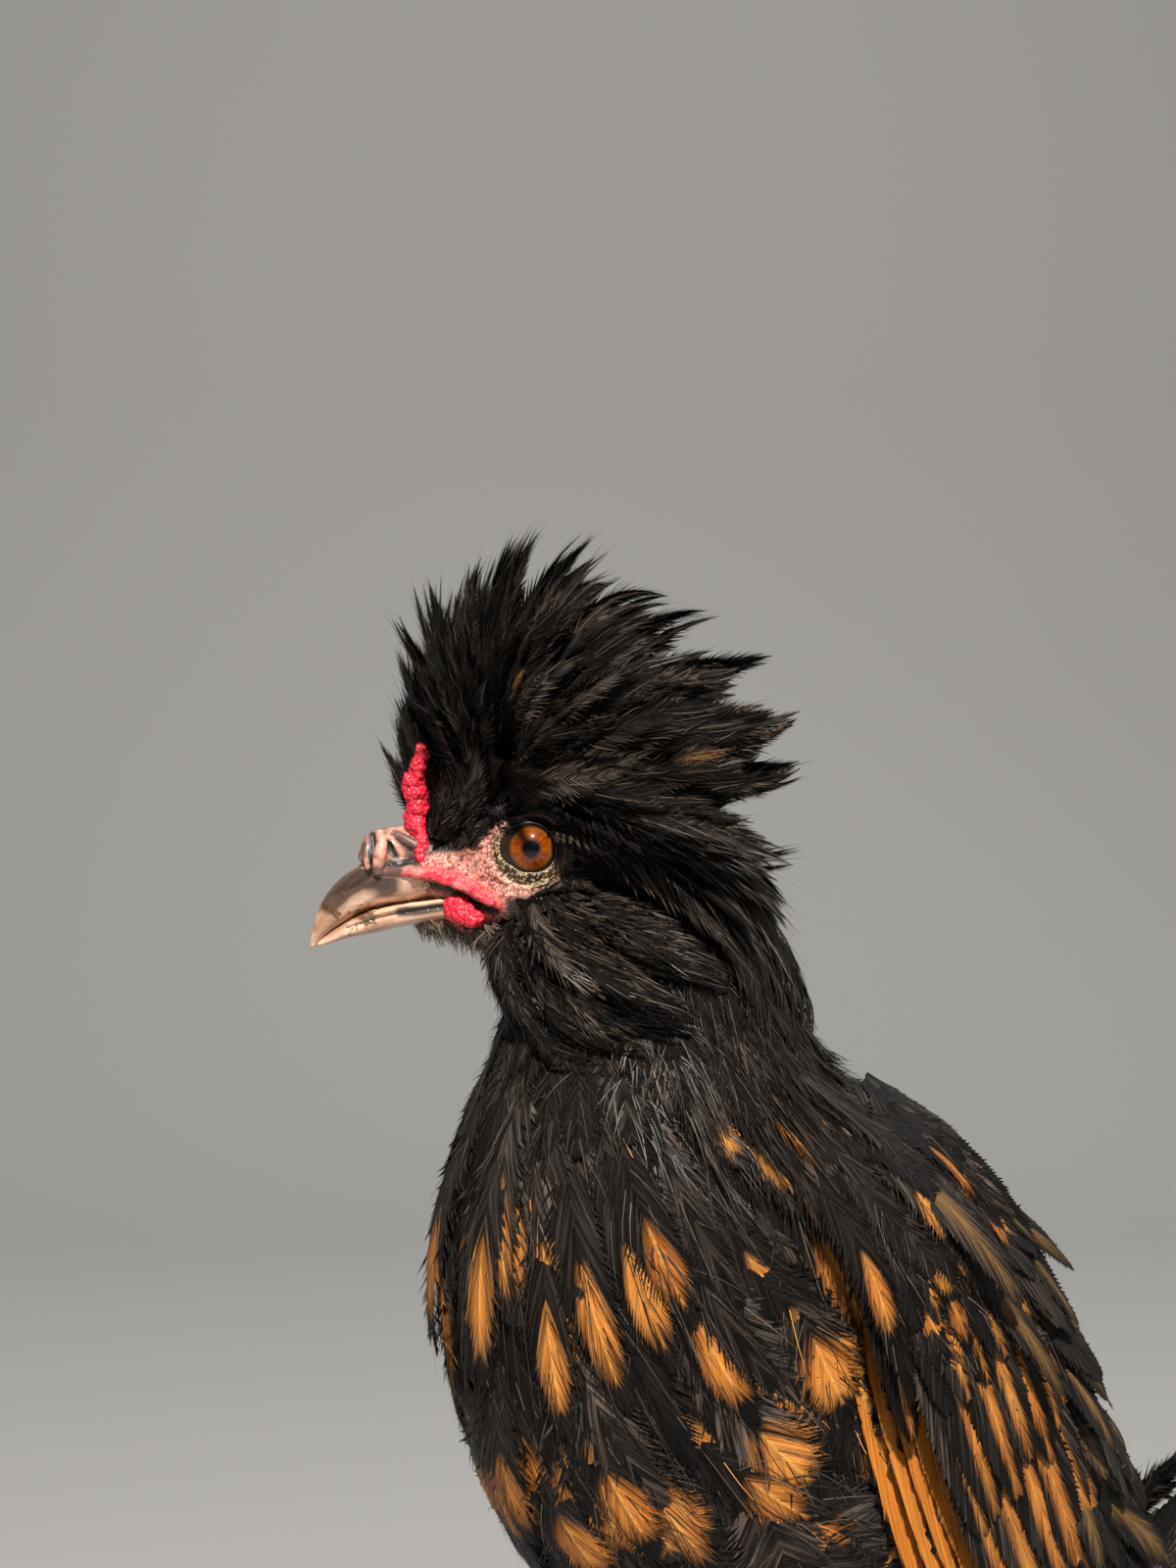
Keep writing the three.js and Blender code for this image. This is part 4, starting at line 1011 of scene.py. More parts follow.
def beaded(name, cores, spacing, height):
    """Eggs melted into one body, with small beads raised all over it."""
    piece = remeshed(joined(name, [egg(head(*place), half, segments=16) for place, half in cores]), 0.3, 4)
    raised(piece, mixed_beads(from_eyes(vertices_of(piece)), spacing, spacing * 2.4, 3) * height)
    return piece


draw = np.random.default_rng(9)
for name, side in SIDES.items():
    cores = []
    for above in np.arange(-1.4, 19, 0.8):
        ahead, aside, half = comb_at(above)
        half *= draw.uniform(0.82, 1.02)
        place = (ahead + draw.normal(0, 0.16), side * (aside + draw.normal(0, 0.2)), above)
        cores.append((place, (half, half * 0.6 + 0.5, 1.5)))
    finished(beaded(f"comb_beads_{name}", cores, 0.85, 0.4), comb_finish, "comb", f"comb_{name}")
    cores = [((a, side * l, u), half) for (a, l, u), half in WATTLE_EGGS]
    finished(beaded(f"wattle_beads_{name}", cores, 0.8, 0.36), comb_finish, "comb", f"wattle_{name}")

# %% [markdown]
# ## One feather, many times
# A coat could be hair curves, but only real mesh can be kept. So a feather is drawn once as a flat
# template: a shaft line, and on each side a row of barbs that are joined near the shaft and part towards
# the edge, which gives the frayed outline. A few templates with other random barbs keep them unlike.

# %% Feather templates
def lance(y):
    """Half width of a long pointed feather, along it from 0 to 1."""
    return np.sin(np.pi * np.clip(y, 0, 1) ** 0.8) ** 1.1 + 0.012


def oval(y):
    """Half width of a feather that is widest near a round tip."""
    return np.clip(np.sin(np.pi * np.clip(y, 0, 1) ** 1.5), 0, 1) ** 0.5 + 0.012


def blade(y):
    """Half width of a stiff flight feather."""
    return np.minimum(1.0, 0.3 + 4 * y) * np.clip((1.0 - y) * 9, 0, 1) ** 0.5 + 0.012


def paddle(y):
    """Half width of a tail feather, which widens to a round end."""
    return (0.62 + 0.38 * y) * np.sqrt(np.clip(1 - np.clip((y - 0.78) / 0.22, 0, 1) ** 2, 0, 1)) + 0.012


STRIP_END = 0.985


def template(seed, outline, rows, lean=1.45, core=0.6, fray=0.12, ruffle=0.02, bare=0.04, finer=1.5):
    """Places (across, along, off) and triangles of one flat feather, a unit long and two units wide."""
    draw = np.random.default_rng(seed)
    steps = 1 - (1 - np.linspace(0, 1, 2 * rows + 1)) ** finer
    at = bare + (STRIP_END - bare) * steps
    places = [(0, y, 0) for y in at[0::2]]
    faces = []
    for side in SIDES.values():
        edge = len(places)
        for y in at:
            end = 1 - (1 - y) ** lean
            places.append((side * outline(end) * core, y + (end - y) * core, 0))
        tips = len(places)
        for k in range(2 * rows):
            y = (at[k] + at[k + 1]) / 2
            end = 1 - (1 - y) ** lean
            long = 1 + fray * draw.uniform(-1, 1)
            wide = outline(end)
            places.append((side * wide * long, y + (end - y) * long, ruffle * wide * draw.normal()))
        for k in range(rows):
            e = edge + 2 * k
            fan = [(k, e, e + 1), (k, e + 1, k + 1), (k + 1, e + 1, e + 2)]
            fan += [(e + j, tips + 2 * k + j, e + j + 1) for j in (0, 1)]
            faces += fan if side > 0 else [face[::-1] for face in fan]
    return np.array(places, float), np.array(faces)


def templates(seed, count, *shape, **more):
    return [template(seed + k, *shape, **more) for k in range(count)]


def barb_template():
    """A fine barb: a strip that narrows to its end."""
    at = [0, 0.35, 0.7]
    places = [(x, y, 0) for y in at for x in (-1 + 0.5 * y, 1 - 0.5 * y)] + [(0, 1, 0)]
    faces = [(0, 1, 3), (0, 3, 2), (2, 3, 5), (2, 5, 4), (4, 5, 6)]
    return np.array(places, float), np.array(faces)


contour_templates = templates(0, 8, oval, 20, 1.5, 0.55, 0.14, 0.02, bare=0.3)
loose_templates = templates(20, 8, lance, 20, 1.9, 0.42, 0.22, 0.02, bare=0.15)
crest_templates = templates(40, 8, lance, 20, 1.9, 0.6, 0.14, 0.02, bare=0.1)
hairy_templates = templates(60, 6, lance, 14, 1.9, 0.4, 0.28, 0.03, bare=0.1)
tiny_templates = templates(80, 4, lance, 5, 1.7, 0.45, 0.3, 0.06)
flight_templates = templates(100, 4, blade, 24, 1.12, 0.93, 0.03, 0.004, finer=1.2)
covert_templates = templates(120, 6, oval, 24, 1.35, 0.85, 0.04, 0.008, bare=0.15, finer=1.3)
tail_templates = templates(140, 5, paddle, 26, 1.12, 0.93, 0.04, 0.006, finer=1.2)
print("triangles of a contour feather", len(contour_templates[0][1]))

# %% [markdown]
# ## Two maps for a feather
# The first map, Vane, is the feather's own, for its markings. The second, OFBake, puts each feather as
# one small patch on an unwrap of the skin, at the place of its root. The unwrap has a tile for each
# region, and each tile is given by its lower corner and its size.

# %% Tiles of the skin's unwrap
TORSO_TILE = (0.01, 0.01, 0.48)
THIGH_TILES = {1: (0.52, 0.16, 0.14), -1: (0.52, 0.01, 0.14)}
NECK_TILE = (0.01, 0.52, 0.3)
CREST_TILE = (0.35, 0.52, 0.3)
BEARD_TILE = (0.68, 0.35, 0.15)
FACE_TILE = (0.68, 0.68, 0.12)
HAIR_TILE = (0.84, 0.68, 0.12)
WING_TILES = {1: (0.84, 0.31, 0.14), -1: (0.84, 0.01, 0.14)}
TAIL_TILE = (0.68, 0.1, 0.1)
FULL_TURN = 2 * math.pi


def onto_map(across, down, tile):
    """Places on one tile of the skin's unwrap."""
    left, low, size = tile
    across, down = np.broadcast_arrays(np.mod(across, 1), np.clip(down, 0, 1))
    return np.stack([left + size * across, low + size * down], axis=1)


def on_torso_map(t, angle):
    return onto_map(angle / FULL_TURN, t, TORSO_TILE)


def on_neck_map(below, angle):
    return onto_map(angle / FULL_TURN, below / 60 + 0.1, NECK_TILE)


# %% [markdown]
# ## Bending a coat of feathers
# Each feather of the bird bends its template along three places: its root, its middle and its tip. Numpy
# does this for a whole coat at once, because thousands of separate copies would take minutes.

# %% Coats
PATCH = 0.003
MOST_TRIANGLES = 190_000


def bent(paths, y):
    """Places and directions on feathers' curves from root by middle to tip, at shares y."""
    root, middle, tip, _ = paths
    y = np.asarray(y)[..., None]
    point = (2 * y * y - 3 * y + 1) * root + (4 * y - 4 * y * y) * middle + (2 * y * y - y) * tip
    slope = (4 * y - 3) * root + (4 - 8 * y) * middle + (4 * y - 1) * tip
    return point, unit(slope)


def triangle_mesh(name, places, faces, maps):
    mesh = bpy.data.meshes.new(name)
    mesh.vertices.add(len(places))
    mesh.vertices.foreach_set("co", places.astype(np.float32).ravel())
    mesh.loops.add(faces.size)
    mesh.loops.foreach_set("vertex_index", faces.astype(np.int32).ravel())
    mesh.polygons.add(len(faces))
    mesh.polygons.foreach_set("loop_start", np.arange(0, faces.size, 3, dtype=np.int32))
    mesh.polygons.foreach_set("use_smooth", np.ones(len(faces), bool))
    mesh.update(calc_edges=True)
    for layer, spots in maps.items():
        uv = mesh.uv_layers.new(name=layer)
        uv.data.foreach_set("uv", spots[faces.ravel()].astype(np.float32).ravel())
    piece = bpy.data.objects.new(name, mesh)
    bpy.context.scene.collection.objects.link(piece)
    return piece


def feather_mesh(name, feathers, paths, width, patch, finish, slot, cup, nodes, marks):
    count = len(width)
    parts = {"places": [], "faces": [], "Vane": [], "OFBake": [], **{key: [] for key in marks}}
    offset = 0
    for which, (places, faces) in enumerate(feathers):
        pick = np.arange(which, count, len(feathers))
        if not len(pick):
            continue
        x, y, z = places.T
        chosen = [np.asarray(p)[pick][:, None, :] for p in paths]
        point, tangent = bent(chosen, y[None, :])
        side = unit(np.cross(tangent, chosen[3]))
        up = np.cross(side, tangent)
        half = (width[pick] / 2)[:, None, None]
        length = np.linalg.norm(chosen[2] - chosen[0], axis=2, keepdims=True)
        made = point + side * x[None, :, None] * half
        made += up * (z[None, :, None] * length - cup * (x * x)[None, :, None] * half)
        parts["places"].append(made.reshape(-1, 3))
        starts = offset + np.arange(len(pick)) * len(places)
        offset += len(pick) * len(places)
        parts["faces"].append((faces[None] + starts[:, None, None]).reshape(-1, 3))
        parts["Vane"].append(np.tile(np.stack([x / 2 + 0.5, y], axis=1), (len(pick), 1)))
        local = np.stack([x / 2, y - 0.5], axis=1) * PATCH
        parts["OFBake"].append((patch[pick][:, None, :] + local[None]).reshape(-1, 2))
        for key, values in marks.items():
            parts[key].append(np.repeat(np.asarray(values, float)[pick], len(places)))
    whole = {key: np.concatenate(values) for key, values in parts.items()}
    maps = {layer: whole[layer] for layer in ("Vane", "OFBake")}
    piece = triangle_mesh(name, whole["places"], whole["faces"], maps)
    write_marks(piece, **{key: whole[key] for key in marks})
    return finished(piece, finish, slot, *nodes)


def coat(name, feathers, paths, width, patch, finish, slot, cup=0.15, nodes=(), **marks):
    """Meshes of feathers, each bent along its root, middle and tip, facing its normal."""
    count = len(width)
    shares = math.ceil(count * len(feathers[0][1]) / MOST_TRIANGLES)
    for k in range(shares):
        some = slice(k * count // shares, (k + 1) * count // shares)
        feather_mesh(name if shares == 1 else f"{name}_{k + 1}", feathers, [p[some] for p in paths],
                     width[some], patch[some], finish, slot, cup, () if k else nodes,
                     {key: np.asarray(values)[some] for key, values in marks.items()})


# %% [markdown]
# ## Loose barbs
# Nothing shows a feather better than the barbs that have come loose from it. Each is a thin strip that
# starts on its feather's vane, near the shaft, and ends further along it and near or past its edge.

# %% Loose barbs
BARB_WIDTH = 0.17


def loose_barbs(name, paths, width, patch, slot, each, draw, outline=oval, lift=0.5, reach=(0.4, 0.9),
                over=(0.5, 1.25), gold=None, bright=1.0):
    """Single barbs that lie on feathers or stand past their edges, so many for each."""
    pick = np.repeat(np.arange(len(width)), each)
    total = len(pick)
    chosen = [np.asarray(p)[pick] for p in paths]
    start = draw.uniform(*reach, total)
    end = start + draw.uniform(0.14, 0.34, total)
    side_sign = draw.choice([-1, 1], total)
    spot_a, _ = bent(chosen, start)
    spot_b, along = bent(chosen, end)
    side = unit(np.cross(along, chosen[3]))
    up = np.cross(side, along)
    half = width[pick] / 2
    close = (side_sign * half * outline(start) * draw.uniform(0.0, 0.4, total))[:, None]
    far = (side_sign * half * outline(np.clip(end, 0, 0.96)) * draw.uniform(*over, total))[:, None]
    high = (lift * draw.uniform(0.2, 1.0, total) * MM)[:, None]
    root = spot_a + side * close + up * 0.12 * MM
    tip = spot_b + side * far + up * high
    middle = (root + tip) / 2 + side * (far - close) * 0.12 + up * high * 0.35
    # Painted glint: this number picks the loose barbs that are painted light brown.
    shine = draw.uniform(0, 1, total)
    gold = np.zeros(len(width)) if gold is None else gold
    in_mark = (gold[pick] > 0.3) & (abs(end - 0.72) < 0.15) & (abs(far[:, 0]) < half * 0.5)
    coat(name, [barb_template()], (root, middle, tip, up), np.full(total, BARB_WIDTH * MM), patch[pick],
         barb_finish, slot, cup=0.0, shade=shine * bright, gold=in_mark * 0.8)


def some_gold(draw, likely, low, high, count):
    """Strengths of gold marks between low and high, or 0 for the feathers without one."""
    return np.where(draw.uniform(size=count) < likely, draw.uniform(low, high, count), 0.0)


# %% [markdown]
# ## Rows of feathers
# The contour feathers sit in rows like roof tiles, each over the roots of the next row. Rows are placed
# along a form and feathers round it, half a step aside in every second row, with a little disorder.
# Middle and tip are taken from the same form, further along and a little higher, so every feather
# follows the body's curve.

# %% Rows on a form
def rows_on(form, first, last, row_step, step, draw, jitter=0.3):
    """Shares along and angles round a form, in staggered rows; row_step and step go by share, in mm."""
    shares, angles = [], []
    t = first
    row = 0
    while t < last:
        size = through(form.sizes, t) / MM
        girth = math.pi * (size[0] + (size[1] + size[2]) / 2)
        gap = float(np.interp(t, *step))
        count = max(int(girth / gap), 6)
        around = (np.arange(count) + 0.5 * (row % 2)) / count * 2 * math.pi
        angles.append(around + draw.normal(0, jitter * gap / girth * 2 * math.pi, count))
        down = float(np.interp(t, *row_step)) * MM / form.speed(t)
        shares.append(t + draw.normal(0, jitter * down, count))
        t += down
        row += 1
    return np.concatenate(shares), np.concatenate(angles)


def lying_on(form, t, angle, length, lift, sweep=0.0, root_depth=5.0, middle_lift=0.5):
    """Root, middle, tip and normal of feathers that lie along a form; lengths and lifts in mm."""
    speed = form.speed(np.clip(t, 0.01, 0.99)) / MM
    root = form.place(t, angle, -root_depth * MM)
    half_way, end = t + 0.5 * length / speed, t + length / speed
    middle = form.place(half_way, angle + 0.5 * sweep, (lift * middle_lift - 0.9) * MM)
    tip = form.place(end, angle + sweep, lift * MM)
    behind = form.along(np.ones_like(t))
    middle += behind * (np.clip(half_way - 1, 0, None) * speed * MM)[:, None]
    tip += behind * (np.clip(end - 1, 0, None) * speed * MM)[:, None]
    normal = form.normal(np.clip(t + 0.6 * length / speed, 0.01, 0.99), angle + 0.6 * sweep)
    return root, middle, tip, normal


def on_side(side, angle, sweep):
    """Angles and sweeps as they are on the left, or mirrored for the right."""
    return (angle, sweep) if side > 0 else (math.pi - angle, -sweep)


# %% [markdown]
# ## Feathers of the torso
# The torso's coat is one set of rows from the crop to the tail. Feathers get longer and wider towards
# the belly. From the crop of the throat downwards they carry gold centres, and the back has fewer.

# %% Feathers of the torso
TORSO_SHARES = [0, 0.25, 0.5, 1]
draw = np.random.default_rng(101)
t, angle = rows_on(torso_form, 0.02, 0.97, (TORSO_SHARES, [5, 7.5, 10, 8.5]),
                   (TORSO_SHARES, [6.5, 8.5, 11, 9.5]), draw)
count = len(t)
length = draw.uniform(0.9, 1.12, count) * np.interp(t, TORSO_SHARES, [25, 30, 36, 32])
width = draw.uniform(0.85, 1.15, count) * np.interp(t, TORSO_SHARES, [13, 17, 23, 20]) * MM
lift = draw.uniform(-2.4, -0.4, count)
sweep = 0.6 * np.clip(-np.sin(angle), 0, 1) * np.cos(angle) + draw.normal(0, 0.19, count)
paths = lying_on(torso_form, t, angle, length, lift, sweep)
likely = np.interp(t, [0.0, 0.06, 0.5, 1], [0.4, 0.6, 0.55, 0.3])
likely *= np.interp(np.sin(angle), [0.2, 0.7], [1, 0.25])
gold = some_gold(draw, likely, 0.3, 0.7, count)
gold += np.clip(t, 0, 0.3) * (gold > 0)
patch = on_torso_map(t, angle)
coat("breast_and_back", contour_templates, paths, width, patch, contour_finish, "plumage",
     gold=gold, shade=draw.uniform(size=count))
loose_barbs("breast_barbs", paths, width, patch, "plumage", 14, draw, reach=(0.45, 0.9), gold=gold)

# %% [markdown]
# ## Thighs, flanks, back and rump
# The thighs have rows of their own. Flanks, lower back and rump are loose feathers strewn over a part of
# a form, and they close the gaps between torso, thighs, wings and tail.

# %% Thighs, flanks, back and rump
def strewn(draw, name, barbs, paths, width, patch, finish, gold, each, lift=0.6, reach=(0.4, 0.9)):
    """Small feathers of the body, and the loose barbs on them."""
    coat(name, contour_templates, paths, width, patch, finish, "plumage",
         gold=gold, shade=draw.uniform(size=len(width)))
    loose_barbs(barbs, paths, width, patch, "plumage", each, draw, lift=lift, reach=reach)


for name, side in SIDES.items():
    form = thigh_form(side)
    t, angle = rows_on(form, 0.04, 0.88, ([0, 1], [6, 3.4]), ([0, 1], [7.5, 4.2]), draw)
    count = len(t)
    length = draw.uniform(20, 27, count) * np.interp(t, [0, 1], [1.15, 0.5])
    lift = draw.uniform(-0.4, 1.2, count)
    paths = lying_on(form, t, angle, length, lift, draw.normal(0, 0.1, count), 3.0)
    gold = some_gold(draw, 0.3, 0.3, 0.8, count)
    width = draw.uniform(0.85, 1.15, count) * np.interp(t, [0, 1], [15, 7]) * MM
    strewn(draw, f"thigh_feathers_{name}", f"thigh_barbs_{name}", paths, width,
           onto_map(angle / FULL_TURN, t, THIGH_TILES[side]), contour_finish, gold, 8)

FLANK_FEATHERS = 110
for name, side in SIDES.items():
    t = draw.uniform(0.44, 0.68, FLANK_FEATHERS)
    angle = draw.uniform(-1.15, 0.15, FLANK_FEATHERS)
    length = draw.uniform(30, 40, FLANK_FEATHERS)
    angle, sweep = on_side(side, angle, draw.normal(0.05, 0.1, FLANK_FEATHERS))
    lift = np.interp(t, [0.44, 0.68], [0.5, 7]) + draw.uniform(-1, 1, FLANK_FEATHERS)
    paths = lying_on(torso_form, t, angle, length, lift, sweep)
    gold = some_gold(draw, 0.4, 0.3, 0.8, FLANK_FEATHERS)
    width = draw.uniform(15, 21, FLANK_FEATHERS) * MM
    strewn(draw, f"flank_{name}", f"flank_barbs_{name}", paths, width,
           on_torso_map(t, angle), contour_finish, gold, 10)

LOWER_BACK = 170
t = draw.uniform(0.22, 0.86, LOWER_BACK)
angle = draw.uniform(0.62, math.pi - 0.62, LOWER_BACK)
length = draw.uniform(32, 44, LOWER_BACK)
lift = draw.uniform(1.5, 7, LOWER_BACK)
paths = lying_on(torso_form, t, angle, length, lift, draw.normal(0, 0.1, LOWER_BACK))
width = draw.uniform(10, 15, LOWER_BACK) * MM
gold = some_gold(draw, 0.15, 0.2, 0.5, LOWER_BACK)
strewn(draw, "lower_back", "lower_back_barbs", paths, width,
       on_torso_map(t, angle), loose_finish, gold, 10, 0.8, (0.3, 0.9))

RUMP_FEATHERS = 190
t = draw.uniform(0.0, 0.75, RUMP_FEATHERS)
angle = draw.uniform(0, 2 * math.pi, RUMP_FEATHERS)
under = np.clip(-np.sin(angle), 0, 1)
length = draw.uniform(24, 34, RUMP_FEATHERS) + 8 * under
lift = 3 + 9 * under + draw.uniform(-1.5, 2, RUMP_FEATHERS)
paths = lying_on(rump_form, t, angle, length, lift, draw.normal(0, 0.12, RUMP_FEATHERS), 6.0)
width = draw.uniform(11, 16, RUMP_FEATHERS) * MM
gold = 0.4 * (draw.uniform(size=RUMP_FEATHERS) < 0.2)
strewn(draw, "rump_feathers", "rump_barbs", paths, width,
       on_torso_map(0.9 + t * 0.1, angle), loose_finish, gold, 14, 1.2, (0.3, 0.9))

# %% [markdown]
# ## Hackle
# The neck's feathers are longer, narrower and loose at their edges, and hang over the shoulders. They
# run over two forms, first down the neck and then on down the torso, so their places are found by the
# distance below the top of the neck. Behind the head they puff out.

# %% Hackle
NECK_LENGTH = 38.5
HACKLE_ROWS = 17
FROM_FRONT = [0, 35, 45, 60, 75, 110, 180]


def on_lie(below, angle, lift):
    """Places on the neck, and below it on the torso, at a distance in mm below the neck's top."""
    speed = torso_form.speed(0.05) / MM
    on_neck = neck_form.place(np.clip(below / NECK_LENGTH, 0, 1), angle, lift * MM)
    on_torso = torso_form.place(np.clip((below - NECK_LENGTH) / speed, 0, 1), angle, lift * MM)
    return np.where((below < NECK_LENGTH)[:, None], on_neck, on_torso)


def gathered(tips, groups, pull, draw):
    """Tips drawn together into clumps, as damp or oily feathers are."""
    centres = tips[draw.choice(len(tips), groups, replace=False)]
    nearest = np.argmin(np.linalg.norm(tips[:, None] - centres[None], axis=2), axis=1)
    return tips + (centres[nearest] - tips) * pull


def from_front(angle):
    """Degrees round the neck from the middle of the throat."""
    turned = np.mod(np.degrees(angle) + 90, 360)
    return np.minimum(turned, 360 - turned)


def facing_out(below, angle, lift, middle):
    """Directions that leave the neck squarely."""
    across = on_lie(below + 4, angle + 0.02, lift) - on_lie(below + 4, angle - 0.02, lift)
    normal = unit(np.cross(across, on_lie(below + 8, angle, lift) - on_lie(below, angle, lift)))
    return normal * np.sign(np.sum(normal * (middle - np.array(NECK_AXIS)) * [1, 1, 0], axis=1))[:, None]


def throat_side(angle):
    """1 in front, 0 at the sides and behind."""
    return np.clip(-np.sin(angle), 0, 1)


draw = np.random.default_rng(140)
below, angle = [], []
for row in range(HACKLE_ROWS):
    count = 30 + row * 2
    below.append(-4 + row * 2.5 + draw.normal(0, 1.0, count))
    angle.append((np.arange(count) + 0.5 * (row % 2)) / count * 2 * math.pi + draw.normal(0, 0.06, count))
below, angle = np.concatenate(below), np.concatenate(angle)
keep = below < np.interp(from_front(angle), FROM_FRONT, [4, 6, 12, 19, 24, 29, 36])
below, angle = below[keep], angle[keep]
count = len(below)
behind = np.clip(np.sin(angle), 0, 1)
down_share = np.clip(below / 34, 0, 1)
longest = np.interp(from_front(angle), FROM_FRONT, [17, 18, 20, 23.5, 27, 31, 32])
length = draw.uniform(0.9, 1.12, count) * longest
low = np.interp(down_share, [0, 0.5, 1], [0.5, 2.5, 4.5])
lift = low + (4.5 - low) * behind - 2 * throat_side(angle) + draw.uniform(-1.2, 1.2, count)
puff = np.interp(down_share, [0, 0.6, 1], [5, 3, 0]) * behind
drift = 0.1 * throat_side(angle) * np.cos(angle) + draw.normal(0, 0.05, count)
root = on_lie(below, angle, np.full(count, -COAT_DEPTH - 1.0))
middle = on_lie(below + 0.5 * length, angle + drift / 2, lift * 0.8 + puff)
tip = gathered(on_lie(below + length, angle + drift, lift + puff * 0.5), 210, 0.35, draw)
paths = (root, middle, tip, facing_out(below, angle, lift, middle))
gold = some_gold(draw, 0.16, 0.25, 0.5, count) * (below > 20)
width = draw.uniform(8.5, 12.5, count) * MM
patch = on_neck_map(below, angle)
coat("hackle", loose_templates, paths, width, patch, loose_finish, "crest",
     gold=gold, shade=draw.uniform(size=count))
loose_barbs("hackle_barbs", paths, width, patch, "crest", 16, draw, lance, 0.8, (0.3, 0.85), bright=0.84)

# %% [markdown]
# ## Throat and upper breast
# In front the hackle ends under the beard, and rounder feathers take over. They lie close, and the lower
# ones have the first gold marks. A marked feather lies over its neighbours, so that its mark is seen.

# %% Feathers of throat and upper breast
THROAT_ROWS = 8
THROAT_COUNT = 26
THROAT_SPAN = 190
draw = np.random.default_rng(150)
below, angle = [], []
for row in range(THROAT_ROWS):
    below.append(4 + row * 4.6 + draw.normal(0, 1.8, THROAT_COUNT))
    across = (np.arange(THROAT_COUNT) + 0.5 * (row % 2)) / THROAT_COUNT - 0.5
    angle.append(np.radians(-90 + THROAT_SPAN * across) + draw.normal(0, 0.12, THROAT_COUNT))
below, angle = np.concatenate(below), np.concatenate(angle)
count = len(below)
length = draw.uniform(20, 25, count)
lift = draw.uniform(-2.0, 0.2, count)
drift = 0.2 * np.cos(angle) + draw.normal(0, 0.11, count)
likely = np.interp(below + 2 * throat_side(angle) ** 2, [24, 27, 31], [0.0, 0.4, 0.5])
gold = some_gold(draw, likely, 0.25, 0.8, count)
lift += 1.6 * (gold > 0)
root = on_lie(below, angle, np.full(count, -COAT_DEPTH - 1.5))
middle = on_lie(below + 0.5 * length, angle + drift / 2, lift * 0.7 - 0.6)
tip = on_lie(below + length, angle + drift, lift)
paths = (root, middle, tip, facing_out(below, angle, lift, middle))
width = draw.uniform(10, 13, count) * MM
patch = on_neck_map(below, angle)
coat("throat", contour_templates, paths, width, patch, contour_finish, "plumage",
     gold=gold, shade=draw.uniform(size=count))
loose_barbs("throat_barbs", paths, width, patch, "plumage", 13, draw, lift=0.6, gold=gold, bright=0.84)

# %% [markdown]
# ## Feathers of the head
# The head's feathers are worked out in mm from between the eyes. Each has a root, a bend and a tip, and
# a side that it shows, about which it is rolled a little at random.

# %% Feathers of the head
def columns(*values):
    """Rows of places from their columns, some of which may be single numbers."""
    return np.stack(np.broadcast_arrays(*values), axis=1)


def square_to(vectors, axes):
    """Vectors turned until they are square to their axes."""
    return unit(vectors - axes * np.sum(vectors * axes, axis=1, keepdims=True))


def head_feathers(root, bend, tip, face, roll):
    """Root, middle, tip and normal in the world, of feathers given in mm on the head."""
    root, bend, tip = (head_places(some) for some in (root, bend, tip))
    axis = unit(tip - root)
    face = square_to(face @ HEAD_FRAME, axis)
    normal = face * np.cos(roll)[:, None] + np.cross(axis, face) * np.sin(roll)[:, None]
    return root, 0.25 * root + 0.5 * bend + 0.25 * tip, tip, normal


# %% [markdown]
# ## The crest's dome
# The crest grows from a bony knob on the skull. Its feathers are narrow and pointed. The tips of most
# lie on an uneven dome round the knob, spread evenly by a spiral, and a few spikes stand out of it.

# %% The crest's dome
CREST_CORE = np.array([-12, 0, 20])
CREST_EDGE = np.array([
    (-60, 40), (-18, 41), (0, 39), (24, 42), (34, 46.5), (44, 45), (56, 41), (70, 43), (89, 41), (104, 34),
    (117, 31), (131, 33), (155, 37), (170, 36), (186, 40), (200, 38), (208, 44), (226, 45), (250, 40)])
CREST_HALF = 37
CREST_FEATHERS = 680
CREST_CLUMPS = 230
GOLDEN_ANGLE = 2.39996
SPIKES = [
    (26.8, 45), (21, 52), (11, 55), (4, 60), (0, 61), (-11, 61), (-16, 53), (-26, 48), (-34, 45), (-46, 36),
    (-50, 25), (-52, 15), (-52, -1), (-46, -12)]
SPIKE_FEATHERS = 7


def dome(way, share):
    """A place on the uneven dome of tips, in mm ahead, left and above."""
    way = unit(way)
    turn = np.mod(np.degrees(np.arctan2(way[:, 2], way[:, 0])) + 90, 360) - 90
    reach = np.interp(turn, *CREST_EDGE.T)
    aside = way[:, 1] ** 2
    return way * ((reach * (1 - aside) + CREST_HALF * aside) * share)[:, None] + CREST_CORE


draw = np.random.default_rng(55)
level = 1 - 1.85 * (np.arange(CREST_FEATHERS) + 0.5) / CREST_FEATHERS
turn = np.arange(CREST_FEATHERS) * GOLDEN_ANGLE
ring = np.sqrt(1 - level**2)
way = columns(np.cos(turn) * ring, np.sin(turn) * ring, level)
share = draw.uniform(0.6, 1.0, CREST_FEATHERS)
tip = gathered(dome(way, share) + draw.normal(0, 1.5, (CREST_FEATHERS, 3)), CREST_CLUMPS, 0.4, draw)
for ahead, above in SPIKES:
    aside = draw.uniform(-7, 7)
    tip = np.vstack([tip, [ahead, aside, above] + draw.normal(0, 0.9, (SPIKE_FEATHERS, 3))])
    share = np.append(share, np.ones(SPIKE_FEATHERS))
way = unit(tip - CREST_CORE)
root = unit(way + [0.55, 0, 0.25]) * [15, 12, 13] + [-4, 0, 13]
bend = dome(way + [0.5, 0, -0.12], share * 0.82) * 0.7 + (root + tip) / 2 * 0.3
bend += draw.normal(0, 1.6, bend.shape)
low_line = np.where(tip[:, 0] > -2, 17.0, 17 - 0.74 * (-2 - tip[:, 0]))
keep = tip[:, 2] > low_line - 3
crest_sets = [(root[keep], bend[keep], tip[keep], way[keep])]
